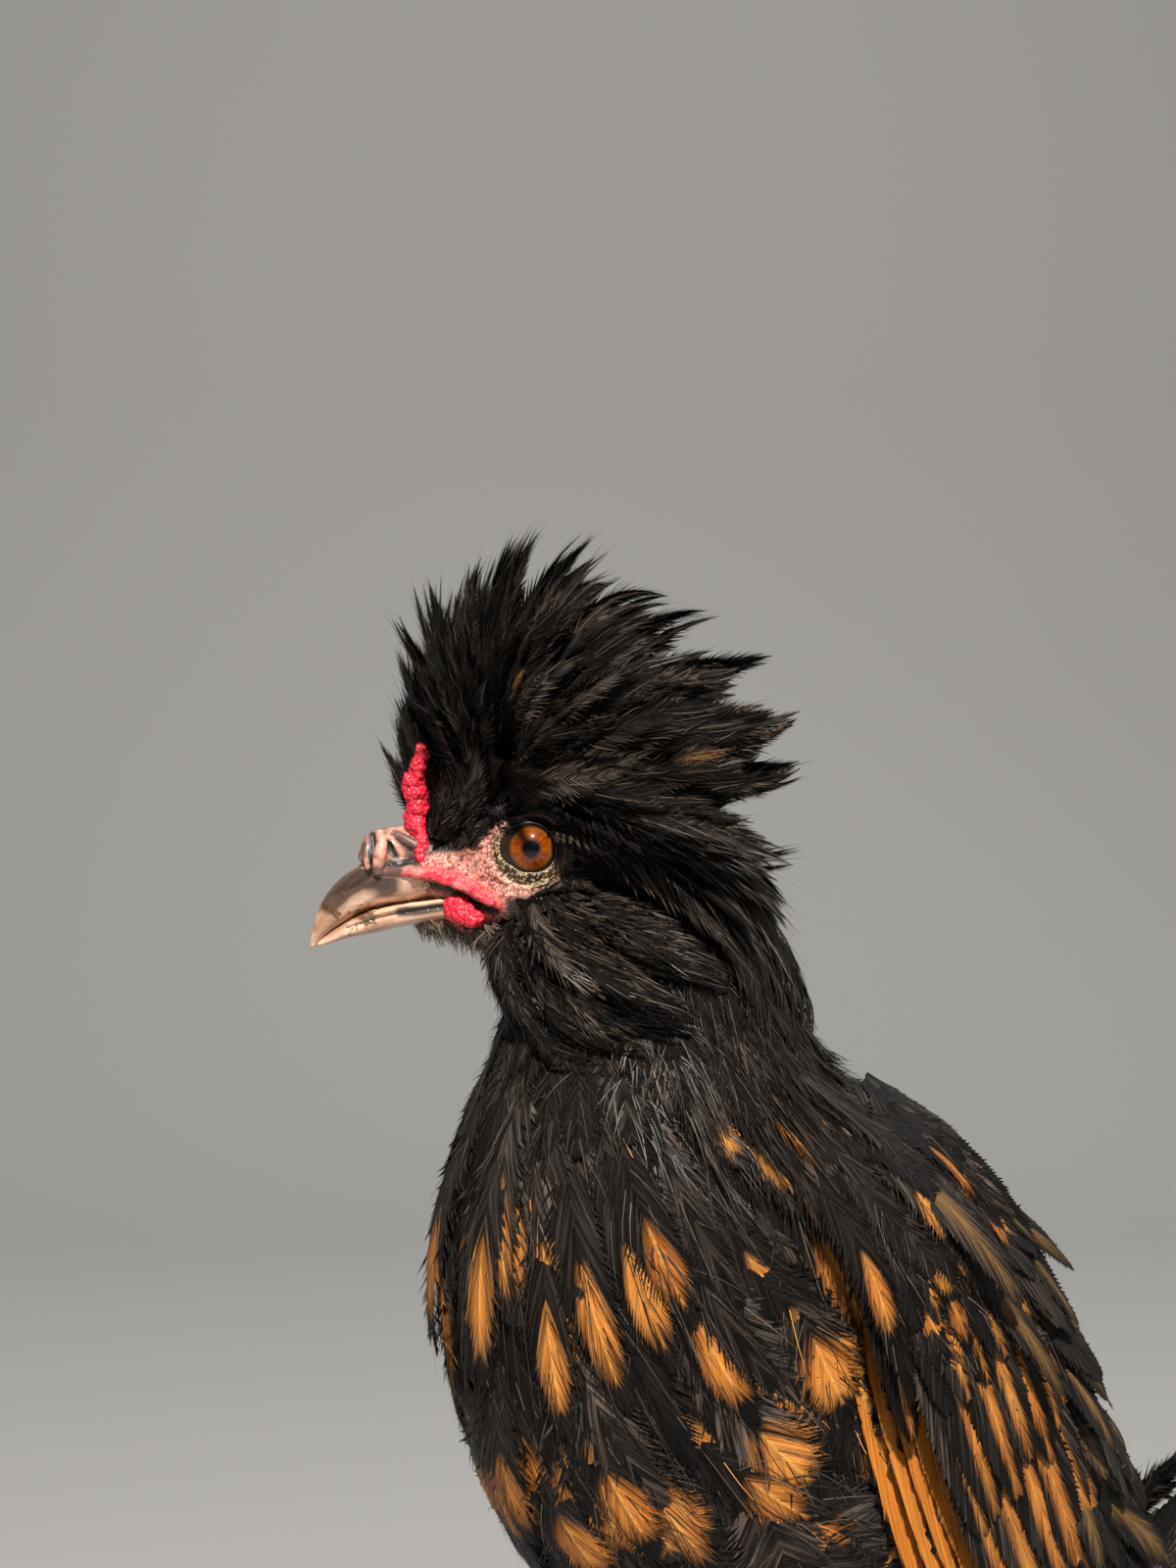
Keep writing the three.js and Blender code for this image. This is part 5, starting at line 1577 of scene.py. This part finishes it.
print("feathers on the dome", int(keep.sum()))

# %% [markdown]
# ## Front and nape of the crest
# Over the comb a fringe stands up. The forehead's feathers rise on both sides of the comb, a few small
# ones close the gap behind it, and at the nape the crest hangs. In each set, aside runs from the right
# side to the left one, and rise from the lowest root to the highest.

# %% Front and nape of the crest
FRINGE = 130
FOREHEAD = 170
BEHIND_COMB = 90
NAPE = 260

aside = draw.uniform(-1, 1, FRINGE)
rise = draw.uniform(0, 1, FRINGE)
edge = aside**2
root = columns(12 - 5 * rise - 2 * edge, 9 * aside, 11 + 5 * rise)
tip = columns(27 - 20 * rise - 7 * edge, 24 * aside, 38 + 19 * rise - 10 * edge)
tip = gathered(tip + draw.normal(0, 2.0, tip.shape), 34, 0.55, draw)
beside_comb = np.clip((abs(aside) - 0.25) / 0.2, 0, 1)
bend = columns(24.5 - 8 * rise - 8.5 * beside_comb, 17 * aside, 21 + 12 * rise)
bend += draw.normal(0, 1.2, bend.shape)
crest_sets.append((root, bend, tip, columns(0.9, 0.5 * aside, 0.3)))

aside = draw.uniform(-1, 1, FOREHEAD)
rise = draw.uniform(0, 1, FOREHEAD)
outer = abs(aside) > 0.42
root = columns(np.where(outer, 17.5, 19.5) - 9 * rise, 7.5 * aside, 2 + 9.5 * rise - 2.5 * aside**2)
reach = np.where(outer, 17 - 4 * abs(aside), 27.5)
tip = columns(reach - 5 * rise, aside * np.where(outer, 15, 9), 15 + 24 * rise)
tip = gathered(tip + draw.normal(0, 1.5, tip.shape), 30, 0.5, draw)
bend = (root + tip) / 2 + columns(np.where(outer, -2.5, 1.5), 1.5 * np.sign(aside), -1)
crest_sets.append((root, bend, tip, columns(0.5, 1.2 * aside, 0.3)))

rise = draw.uniform(0, 1, BEHIND_COMB)
flank = draw.choice([-1, 1], BEHIND_COMB)
root = columns(20.2 - 3.4 * rise, flank * (4.6 + 1.6 * rise), -0.4 + 9.5 * rise)
tip = root + columns(-7, flank * 3.2, 9) + draw.normal(0, 1.3, root.shape)
bend = (root + tip) / 2 + columns(0.6, flank * 1.6, 0)
crest_sets.append((root, bend, tip, columns(0.4, 1.0 * flank, 0.2)))

aside = draw.uniform(-1, 1, NAPE)
edge = aside**2
root = columns(-14 + 13 * edge, 12 * aside, 8 + draw.uniform(-9, 6, NAPE))
tip = columns(-47 + 12 * edge, 31 * aside, -14 + 12 * edge) + draw.normal(0, 1, (NAPE, 3)) * [3, 3, 7]
tip = gathered(tip, 34, 0.6, draw)
bend = columns(-36 + 22 * edge, 25 * aside, 9 + draw.uniform(-6, 1, NAPE))
crest_sets.append((root, bend, tip, columns(-0.6, aside, 0.5)))
print("sets of crest feathers", [len(some[0]) for some in crest_sets])

# %% [markdown]
# ## The crest's coat
# Feathers that would hide the comb's horns are left out: twelve places along each are compared with the
# line of the comb. All the sets together are one coat.

# %% The crest's coat
root, bend, tip, face = (np.vstack([some[k] for some in crest_sets]) for k in range(4))
hides_comb = np.zeros(len(root), bool)
for step in np.linspace(0.3, 1, 12):
    at = (1 - step) ** 2 * root + 2 * step * (1 - step) * bend + step**2 * tip
    comb_ahead, comb_aside, _ = comb_at(at[:, 2])
    hides_comb |= (abs(at[:, 0] - comb_ahead) < 4.2) & (abs(at[:, 1]) > comb_aside - 1) & (at[:, 2] < 20)
root, bend, tip, face = (some[~hides_comb] for some in (root, bend, tip, face))
count = len(root)
print("crest feathers", count, "left out before the comb", int(hides_comb.sum()))
paths = head_feathers(root, bend, tip, face, draw.normal(0, 0.45, count))
round_crown = np.arctan2(root[:, 1], root[:, 0] + 4) / FULL_TURN + 0.5
patch = onto_map(round_crown, (tip[:, 2] + 25) / 90, CREST_TILE)
gold = some_gold(draw, 0.012, 0.04, 0.09, count)
reach = np.linalg.norm(tip - root, axis=1)
width = draw.uniform(0.8, 1.2, count) * np.interp(reach, [8, 40], [5, 12.5]) * MM
coat("crest_feathers", crest_templates, paths, width, patch, loose_finish, "crest",
     nodes=("crest",), gold=gold, shade=draw.uniform(size=count))
loose_barbs("crest_barbs", paths, width, patch, "crest", 12, draw, lance, 1.0, (0.3, 0.8))

# %% [markdown]
# ## Beard and muffs
# The beard hangs under the chin and the muffs sweep back from the cheeks. Both are one set of feathers
# round the jaw, from the chin in front to behind the cheeks, in layers from the outside in.

# %% Beard and muffs
BEARD = 620
draw = np.random.default_rng(77)
round_chin = draw.uniform(-2.35, 2.35, BEARD)
layer = draw.uniform(0, 1, BEARD)
cos, sin = np.cos(round_chin), np.sin(round_chin)
out = unit(columns(cos, sin, -0.25))
root = columns((11 - 6 * layer) * cos - 3, (13.5 - 4.5 * layer) * sin,
               -13 - 10 * layer + (4.6 - 3 * layer) * abs(round_chin))
along = square_to(columns(-0.75 - 0.35 * abs(sin), 0.2 * sin, -0.8 + 0.16 * abs(round_chin)), out)
length = (8 + 18 * abs(sin) + draw.uniform(-4, 9, BEARD))[:, None]
flare = (draw.uniform(0.6, 1.4, BEARD) * (0.16 + 0.4 * abs(sin)))[:, None]
bend = root + along * length * 0.5 + out * length * flare * 1.3
tip = gathered(root + along * length + out * length * flare * 0.8, 75, 0.5, draw)
paths = head_feathers(root - out * 2, bend, tip, out, draw.normal(0, 0.35, BEARD))
width = draw.uniform(4.5, 8, BEARD) * MM
patch = onto_map(round_chin / 6 + 0.5, layer, BEARD_TILE)
coat("beard_feathers", hairy_templates, paths, width, patch, loose_finish, "crest",
     nodes=("beard",), gold=np.zeros(BEARD), shade=draw.uniform(size=BEARD))
loose_barbs("beard_barbs", paths, width, patch, "crest", 16, draw, lance, 1.2, (0.2, 0.75))

# %% [markdown]
# ## Small feathers and bristles of the face
# The small feathers of the face lie from the beak backwards, wherever the head's own skin isn't bare.
# Bare skin has fine bristles, and the chin has down. All three stand on random spots of the skin.

# %% Small feathers and bristles of the face
FACE_SPOTS = 9000
SMALL_FEATHERS = 2600


def sampled(piece, count, draw):
    """Places and normals of random spots on the head, evenly by area."""
    mesh = piece.data
    mesh.calc_loop_triangles()
    corners = np.zeros(len(mesh.loop_triangles) * 3, np.int32)
    mesh.loop_triangles.foreach_get("vertices", corners)
    a, b, c = (vertices_of(piece)[corners.reshape(-1, 3)[:, k]] for k in range(3))
    cross = np.cross(b - a, c - a)
    spots = from_eyes((a + b + c) / 3)
    on_head = (abs(spots[:, 1]) < 18) & (spots[:, 0] > -22) & (spots[:, 0] < 27) & (spots[:, 2] > -19)
    area = np.linalg.norm(cross, axis=1) * on_head
    pick = draw.choice(len(area), count, p=area / area.sum())
    u, v = draw.uniform(size=(2, count, 1))
    flip = u + v > 1
    u, v = np.where(flip, 1 - u, u), np.where(flip, 1 - v, v)
    return a[pick] + u * (b - a)[pick] + v * (c - a)[pick], unit(cross[pick])


def standing(places, normals, lie, size, depth, middle_rise, tip_rise):
    """Root, middle, tip and normal of short growth that leans along the skin."""
    return (places - normals * depth * MM, places + lie * size * 0.5 + normals * size * middle_rise,
            places + lie * size + normals * size * tip_rise, normals)


def on_face_map(local, tile):
    return onto_map(local[:, 0] / 60 + 0.5, local[:, 2] / 60 + 0.5, tile)


draw = np.random.default_rng(88)
spots, normals = sampled(skin, FACE_SPOTS, draw)
local = from_eyes(spots)
bare, fold, *_ = face_marks(local)
near_eye = np.hypot(local[:, 0], local[:, 2]) < 6.3

feathered = np.flatnonzero((bare < 0.35) & ~near_eye & (local[:, 0] < 22))[:SMALL_FEATHERS]
count = len(feathered)
lie = columns(-1.0, 0.0, np.where(local[feathered, 2] > -2, 0.35, -0.35))
lie = square_to(unit(lie + draw.normal(0, 0.15, lie.shape)) @ HEAD_FRAME, normals[feathered])
size = np.interp(local[feathered, 0], [-20, 5, 24], [10, 6, 3.2]) * draw.uniform(0.8, 1.2, count)
size = size[:, None] * MM
coat("face_feathers", tiny_templates,
     standing(spots[feathered], normals[feathered], lie, size, 0.4, 0.2, 0.22),
     size[:, 0] * draw.uniform(0.26, 0.4, count), on_face_map(local[feathered], FACE_TILE), loose_finish,
     "crest", gold=np.zeros(count), shade=draw.uniform(size=count))

bristled = np.flatnonzero((bare > 0.4) & (fold < 0.6) & ~near_eye)
count = len(bristled)
lie = unit(np.array([-1, 0, 0.3]) + draw.normal(0, 0.22, (count, 3))) @ HEAD_FRAME
lie = square_to(lie, normals[bristled])
size = (draw.uniform(0.6, 1.3, count) * MM)[:, None]
coat("face_bristles", [barb_template()],
     standing(spots[bristled], normals[bristled], lie, size, 0.2, 0.3, 0.3),
     np.full(count, BARB_WIDTH * MM), on_face_map(local[bristled], HAIR_TILE), barb_finish,
     "crest", gold=np.zeros(count), shade=draw.uniform(0.3, 1.2, count))

under = (local[:, 0] > 4) & (local[:, 0] < 23) & (local[:, 2] < -13.4) & (abs(local[:, 1]) < 8.5)
downy = np.repeat(np.flatnonzero(under), 3)
count = len(downy)
size = (draw.uniform(2.0, 5.0, count) * np.interp(local[downy, 0], [4, 23], [1.2, 0.6]) * MM)[:, None]
lie = unit(np.array([-0.8, 0, -0.7]) + draw.normal(0, 0.35, (count, 3))) @ HEAD_FRAME
coat("chin_fluff", [barb_template()],
     standing(spots[downy], normals[downy], lie, size, 0.2, 0.3, draw.uniform(0.1, 0.6, (count, 1))),
     draw.uniform(0.16, 0.34, count) * MM, on_face_map(local[downy], HAIR_TILE), barb_finish,
     "crest", gold=np.zeros(count), shade=draw.uniform(0.5, 1.25, count))

# %% [markdown]
# ## Places on a wing
# A place on the folded wing is given by how far it is down from the shoulder and how far across from
# the leading to the trailing edge. It lies off the torso's own side, so the wing follows the body.

# %% Places on a wing
LEADING = [body(0, y, z) for y, z in ((15, 284), (14, 250), (27, 205), (52, 168), (91, 136))]
TRAILING = [body(0, y, z) for y, z in ((44, 287), (66, 258), (81, 222), (94, 184), (106, 146))]
TORSO_STEPS = np.linspace(0, 1, 81)
torso_line = through(torso_form.path, TORSO_STEPS)
torso_sizes = through(torso_form.sizes, TORSO_STEPS)
torso_along = torso_form.along(TORSO_STEPS)


def torso_side(points):
    """Half width of the torso at places seen from the side."""
    gap = points[:, None, 1:] - torso_line[None, :, 1:]
    nearest = np.argmin(np.linalg.norm(gap, axis=2), axis=1)
    along = torso_along[nearest]
    offset = (points[:, 1] - torso_line[nearest, 1]) * -along[:, 2]
    offset += (points[:, 2] - torso_line[nearest, 2]) * along[:, 1]
    size = torso_sizes[nearest]
    half = np.where(offset > 0, size[:, 1], size[:, 2])
    return size[:, 0] * np.sqrt(np.clip(1 - (offset / half) ** 2, 0, 1))


def on_wing(side, down, across, lift):
    """Places on a folded wing; lift in mm off the torso's side."""
    lead = through(LEADING, down)
    at = lead + (through(TRAILING, down) - lead) * across[:, None]
    hold = np.interp(down, [0, 0.12, 0.35, 1], [36, 40, 44, 40]) - 60 * np.clip(across - 0.6, 0, None) ** 2
    tucked = 4 * np.clip(1 - across / 0.14, 0, 1)
    at[:, 0] = side * (np.maximum(torso_side(at) / MM, hold) + lift - tucked) * MM + NECK_AXIS.x
    return at


# %% [markdown]
# ## Wings
# A folded wing shows its feathers in tiers: the long flight feathers at the bottom, longer coverts over
# them, and small coverts at the shoulder. Each tier is a line of the table, in shares of the wing and in
# mm: its count, its start and end down the wing, its first and last place across, width, lift of roots
# and tips, how much gold it has, and how much its rear feathers are shorter.

# %% Wings
TIER_WORDS = ("count", "start", "end", "front", "rear", "wide", "low", "high", "gold", "taper")
WING_TIERS = [
    (11, 0.12, 1.0, 0.06, 0.6, 12, 1.2, 2.6, 1.0, 0.2),
    (9, 0.3, 0.92, 0.26, 0.96, 14, 3.0, 5.6, 0.85, 0.2),
    (8, 0.2, 0.6, 0.22, 0.96, 14, 4.2, 7.6, 0.85, 0.06),
    (9, 0.1, 0.46, 0.16, 0.95, 13, 5, 8.3, 0.8, 0.05),
    (9, 0.03, 0.345, 0.04, 0.95, 12, 5, 8.8, 0.75, 0.05),
    (10, -0.03, 0.25, 0.02, 0.95, 11, 4, 8.8, 0.7, 0.02),
    (10, -0.05, 0.175, 0.02, 0.92, 11, 3, 8.4, 0.6, 0.0),
    (10, -0.07, 0.11, 0.02, 0.92, 11, 0, 7.6, 0.4, 0.0),
    (10, -0.09, 0.055, 0.02, 0.92, 11, -3, 6.2, 0.2, 0.0),
]
FEATHER_TILT = 0.16
GOLD_EDGED = 5
WING_FINISHES = (flight_finish, long_covert_finish, long_covert_finish, covert_finish, small_covert_finish)


def wing_feathers(side, tier, draw):
    count = tier["count"]
    share = np.arange(count) / (count - 1)
    across = tier["front"] + (tier["rear"] - tier["front"]) * share + draw.normal(0, 0.01, count)
    end = tier["end"] - tier["taper"] * share + draw.uniform(-0.015, 0.015, count)
    start = np.full(count, tier["start"])
    lift = draw.uniform(-0.3, 0.3, count)
    above = np.clip(-start, 0, None)[:, None] * np.array([-side * 110, 0, 110]) * MM
    root = on_wing(side, np.clip(start, 0, 1), across, tier["low"] + lift - 1.5) + above
    half_lift = (tier["low"] + tier["high"]) / 2 + lift + 0.4
    middle = on_wing(side, np.clip((start + end) / 2, 0, 1), across, half_lift)
    tip = on_wing(side, end, across, tier["high"] + lift)
    over = unit(through(TRAILING, end) - through(LEADING, end))
    return root, middle, tip, unit(np.array([side, 0, 0.05]) + over * FEATHER_TILT)


for name, side in SIDES.items():
    draw = np.random.default_rng(200)
    for row, numbers in enumerate(WING_TIERS):
        tier = dict(zip(TIER_WORDS, numbers))
        flight = row == 0
        paths = wing_feathers(side, tier, draw)
        count = tier["count"]
        gold = tier["gold"] * draw.uniform(0.7, 1.05, count)
        gold *= draw.uniform(size=count) < tier["gold"] + 0.2
        if flight:
            gold *= np.arange(count) < GOLD_EDGED
        width = tier["wide"] * MM * draw.uniform(0.9, 1.1, count)
        patch = onto_map(np.arange(count) / count, row / 10, WING_TILES[side])
        vanes = flight_templates if flight else covert_templates
        finish = WING_FINISHES[min(row, 4)]
        coat(f"wing_{name}_tier_{row + 1}", vanes, paths, width, patch, finish, "flight", cup=0.1,
             nodes=(f"wing_{name}",) if flight else (), gold=gold, shade=draw.uniform(size=count),
             front=np.full(count, side))
        if not flight:
            loose_barbs(f"wing_{name}_barbs_{row + 1}", paths, width, patch, "flight", 6, draw,
                        lift=0.3, reach=(0.5, 0.9), over=(0.6, 1.05))

# %% [markdown]
# ## Shoulder and saddle
# Small feathers of the back lie over the wing's front, and longer dull ones over its upper edge. Their
# lift over the torso follows the wing's own thickness, which is most at the middle of the shoulder.

# %% Shoulder and saddle feathers
SHOULDER_FEATHERS = 240
SADDLE_FEATHERS = 90
draw = np.random.default_rng(240)
for name, side in SIDES.items():
    t = draw.uniform(0.03, 0.3, SHOULDER_FEATHERS)
    angle = draw.uniform(0.1, 1.5, SHOULDER_FEATHERS)
    over_wing = np.interp(angle, [0.1, 0.5, 0.9, 1.2, 1.5], [9, 10, 9, 6, 3])
    over_wing *= np.interp(t, [0, 0.1], [0.5, 1])
    length = draw.uniform(18, 27, SHOULDER_FEATHERS)
    angle, away = on_side(side, angle, -0.12 + draw.normal(0, 0.06, SHOULDER_FEATHERS))
    lift = over_wing * draw.uniform(0.75, 1.0, SHOULDER_FEATHERS)
    paths = lying_on(torso_form, t, angle, length, lift, away, 4.0, 0.9)
    width = draw.uniform(8, 11, SHOULDER_FEATHERS) * MM
    gold = some_gold(draw, 0.25, 0.3, 0.7, SHOULDER_FEATHERS)
    strewn(draw, f"shoulder_{name}", f"shoulder_barbs_{name}", paths, width,
           on_torso_map(t, angle), contour_finish, gold, 8, 0.5, (0.5, 0.9))

    t = draw.uniform(0.12, 0.66, SADDLE_FEATHERS)
    angle = draw.uniform(0.5, 1.5, SADDLE_FEATHERS)
    lift = np.interp(angle, [0.5, 1.35], [13, 6]) * draw.uniform(0.5, 1.25, SADDLE_FEATHERS)
    length = draw.uniform(24, 44, SADDLE_FEATHERS)
    angle, away = on_side(side, angle, -0.1 + draw.normal(0, 0.14, SADDLE_FEATHERS))
    paths = lying_on(torso_form, t, angle, length, lift, away, 4.0, 0.62)
    width = draw.uniform(8, 14, SADDLE_FEATHERS) * MM
    gold = draw.uniform(0.3, 1.0, SADDLE_FEATHERS) * (draw.uniform(size=SADDLE_FEATHERS) < 0.55)
    patch = on_torso_map(t, angle)
    coat(f"saddle_{name}", covert_templates, paths, width, patch, saddle_finish, "plumage",
         gold=gold, shade=draw.uniform(size=SADDLE_FEATHERS))

# %% [markdown]
# ## Tail
# The main tail feathers are folded like a roof, the middle pair on top, and coverts hide their roots.

# %% Tail
TAIL_LENGTH = 122
TAIL_WIDTH = 23
TAIL_ROLL = 1.05
TAIL_PAIRS = 7
COVERT_ROWS = ((84, 12), (70, 12), (56, 13), (44, 13), (32, 13))
ROW_COUNT = 11


def tail_feathers(side, share, length, root_aside, spread, rise, draw):
    """Feathers that leave the tail's root; share runs from the middle of the tail to its edge."""
    along = unit(np.stack([side * spread, np.cos(rise), np.sin(rise)], axis=1))
    out = np.array([side * math.sin(TAIL_ROLL), 0, math.cos(TAIL_ROLL)])
    out = unit(out - along * (along @ out)[:, None])
    root = np.array([body(side * a, 116, z) for a, z in zip(root_aside, 158 - 8 * share)])
    reach = (length * MM)[:, None]
    middle = root + along * reach * 0.5 + out * reach * 0.02
    return root, middle, root + along * reach, out + draw.normal(0, 0.03, out.shape)


draw = np.random.default_rng(300)
left, low, size = TAIL_TILE
for name, side in SIDES.items():
    share = np.arange(TAIL_PAIRS) / (TAIL_PAIRS - 1)
    length = TAIL_LENGTH * (1 - 0.2 * share) + draw.uniform(-3, 5, TAIL_PAIRS)
    spread, rise = 0.02 + 0.26 * share, 0.3 - 0.4 * share
    paths = tail_feathers(side, share, length, 1.5 + 13.5 * share, spread, rise, draw)
    coat(f"tail_{name}", tail_templates, paths, np.full(TAIL_PAIRS, TAIL_WIDTH * MM),
         onto_map(share * 0.9, 0, TAIL_TILE), flight_finish, "flight", nodes=("tail",) if side > 0 else (),
         gold=draw.uniform(0.1, 0.36, TAIL_PAIRS), shade=draw.uniform(size=TAIL_PAIRS),
         front=np.full(TAIL_PAIRS, side))
    for row, (long, wide) in enumerate(COVERT_ROWS):
        share = (np.arange(ROW_COUNT) + 0.5 * (row % 2)) / ROW_COUNT + draw.normal(0, 0.03, ROW_COUNT)
        length = long + draw.uniform(-10, 10, ROW_COUNT)
        spread, rise = 0.12 + 0.26 * share + 0.05 * row, 0.36 - 0.5 * share
        paths = tail_feathers(side, share, length, 5 + 12.5 * share + row, spread, rise, draw)
        patch = onto_map(share * 0.9, 0, (left, low + 0.1 + 0.02 * row, size))
        width = draw.uniform(0.8, 1.2, ROW_COUNT) * wide * MM
        gold = draw.uniform(0.2, 0.6, ROW_COUNT) * (draw.uniform(size=ROW_COUNT) < 0.35)
        coat(f"tail_coverts_{name}_{row + 1}", contour_templates, paths, width, patch, covert_finish,
             "flight", cup=0.12, gold=gold, shade=draw.uniform(size=ROW_COUNT))
        loose_barbs(f"tail_barbs_{name}_{row + 1}", paths, np.full(ROW_COUNT, wide * MM), patch, "flight",
                    10, draw, lift=0.6)

# %% [markdown]
# ## Legs
# Shanks and toes are bare skin under horn plates. The foot's solids already have their toes, plates and
# claws in place, so they stay, with a slate-blue scaly finish. Plates too small for the solids are left
# to the bump of the finish.

# %% Legs
leg_finish = Finish("scaly legs", 0.45)
scales = leg_finish.cells(420)
leg_cloud = leg_finish.noise(120, 3.0)
slate_leg = leg_finish.between(leg_cloud, 0.35, 0.65, (0.060, 0.074, 0.085), (0.115, 0.12, 0.12))
leg_finish.set("Base Color", leg_finish.between(scales, 0.45, 0.75, slate_leg, (0.032, 0.034, 0.036)))
leg_finish.bump(scales * -1, 0.0008, 0.8)
claw_finish = Finish("claws", 0.35)
claw_finish.set("Base Color", claw_finish.between(
    claw_finish.noise(200, 3.0), 0.4, 0.65, (0.16, 0.12, 0.09), (0.42, 0.33, 0.25)))
claw_finish.bump(claw_finish.noise(900, 2.0), 0.0002, 0.6)
LEG_FINISHES = {"shank": leg_finish, "foot": leg_finish, "claw": claw_finish}
for name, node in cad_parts.items():
    finish = LEG_FINISHES.get(name.split("_")[0])
    if finish:
        node.data.materials.clear()
        node.data.materials.append(finish.material)
        print(name, "has the finish", finish.material.name)

# %% [markdown]
# ## Stage and light
# A pale sweep, which is a floor that curves up into a wall behind the bird, and a hard sun from above on
# the camera's side, because black feathers show their barbs only in hard light. The world's glow is weak.

# %% Stage and light
def sweep(width, ahead, behind, bend, height):
    """A floor that curves up into a wall, as a strip of quads across the view."""
    line = [(-ahead, 0), (behind, 0)]
    turns = np.radians(np.linspace(0, 90, 16)[1:])
    line += [(behind + bend * math.sin(a), bend - bend * math.cos(a)) for a in turns]
    line.append((behind + bend, height))
    places = [
        Vector((EYES.x, EYES.y, 0)) - back * away + right * aside + UP * up
        for away, up in line for aside in (-width / 2, width / 2)]
    mesh = bpy.data.meshes.new("sweep")
    mesh.from_pydata(places, [], [(k, k + 1, k + 3, k + 2) for k in range(0, len(places) - 2, 2)])
    mesh.polygons.foreach_set("use_smooth", [True] * len(mesh.polygons))
    piece = bpy.data.objects.new("sweep", mesh)
    bpy.context.scene.collection.objects.link(piece)
    return piece


floor = sweep(width=14, ahead=2.2, behind=1.2, bend=0.8, height=4)
floor_finish = Finish("floor", 0.85)
floor_finish.set("Base Color", (0.36, 0.355, 0.35))
floor.data.materials.append(floor_finish.material)

world = bpy.data.worlds.new("glow")
bpy.context.scene.world = world
world.use_nodes = True
glow = world.node_tree.nodes["Background"].inputs
glow["Color"].default_value = (0.80, 0.88, 1.0, 1)
glow["Strength"].default_value = 0.13


def panel(name, place, size, power, tint):
    light = bpy.data.lights.new(name, "AREA")
    light.size = size
    light.energy = power
    light.color = tint
    lamp = bpy.data.objects.new(name, light)
    bpy.context.scene.collection.objects.link(lamp)
    lamp.location = place
    lamp.rotation_euler = (head(0, 0, -40) - Vector(place)).to_track_quat("-Z", "Y").to_euler()


panel("sun", EYES + back * 1.4 + right * 0.1 + UP * 1.3, 0.1, 82, (1.0, 0.95, 0.87))
panel("rim light", EYES - back * 0.9 + right * 0.8 + UP * 0.9, 1.2, 3.5, (0.92, 0.96, 1.0))
panel("wall light", EYES - back * 0.4 - right * 0.2 + UP * 2.2, 1.0, 16, (1.0, 1.0, 1.0))
bpy.context.scene.view_settings.view_transform = "Standard"
bpy.context.scene.view_settings.look = "None"
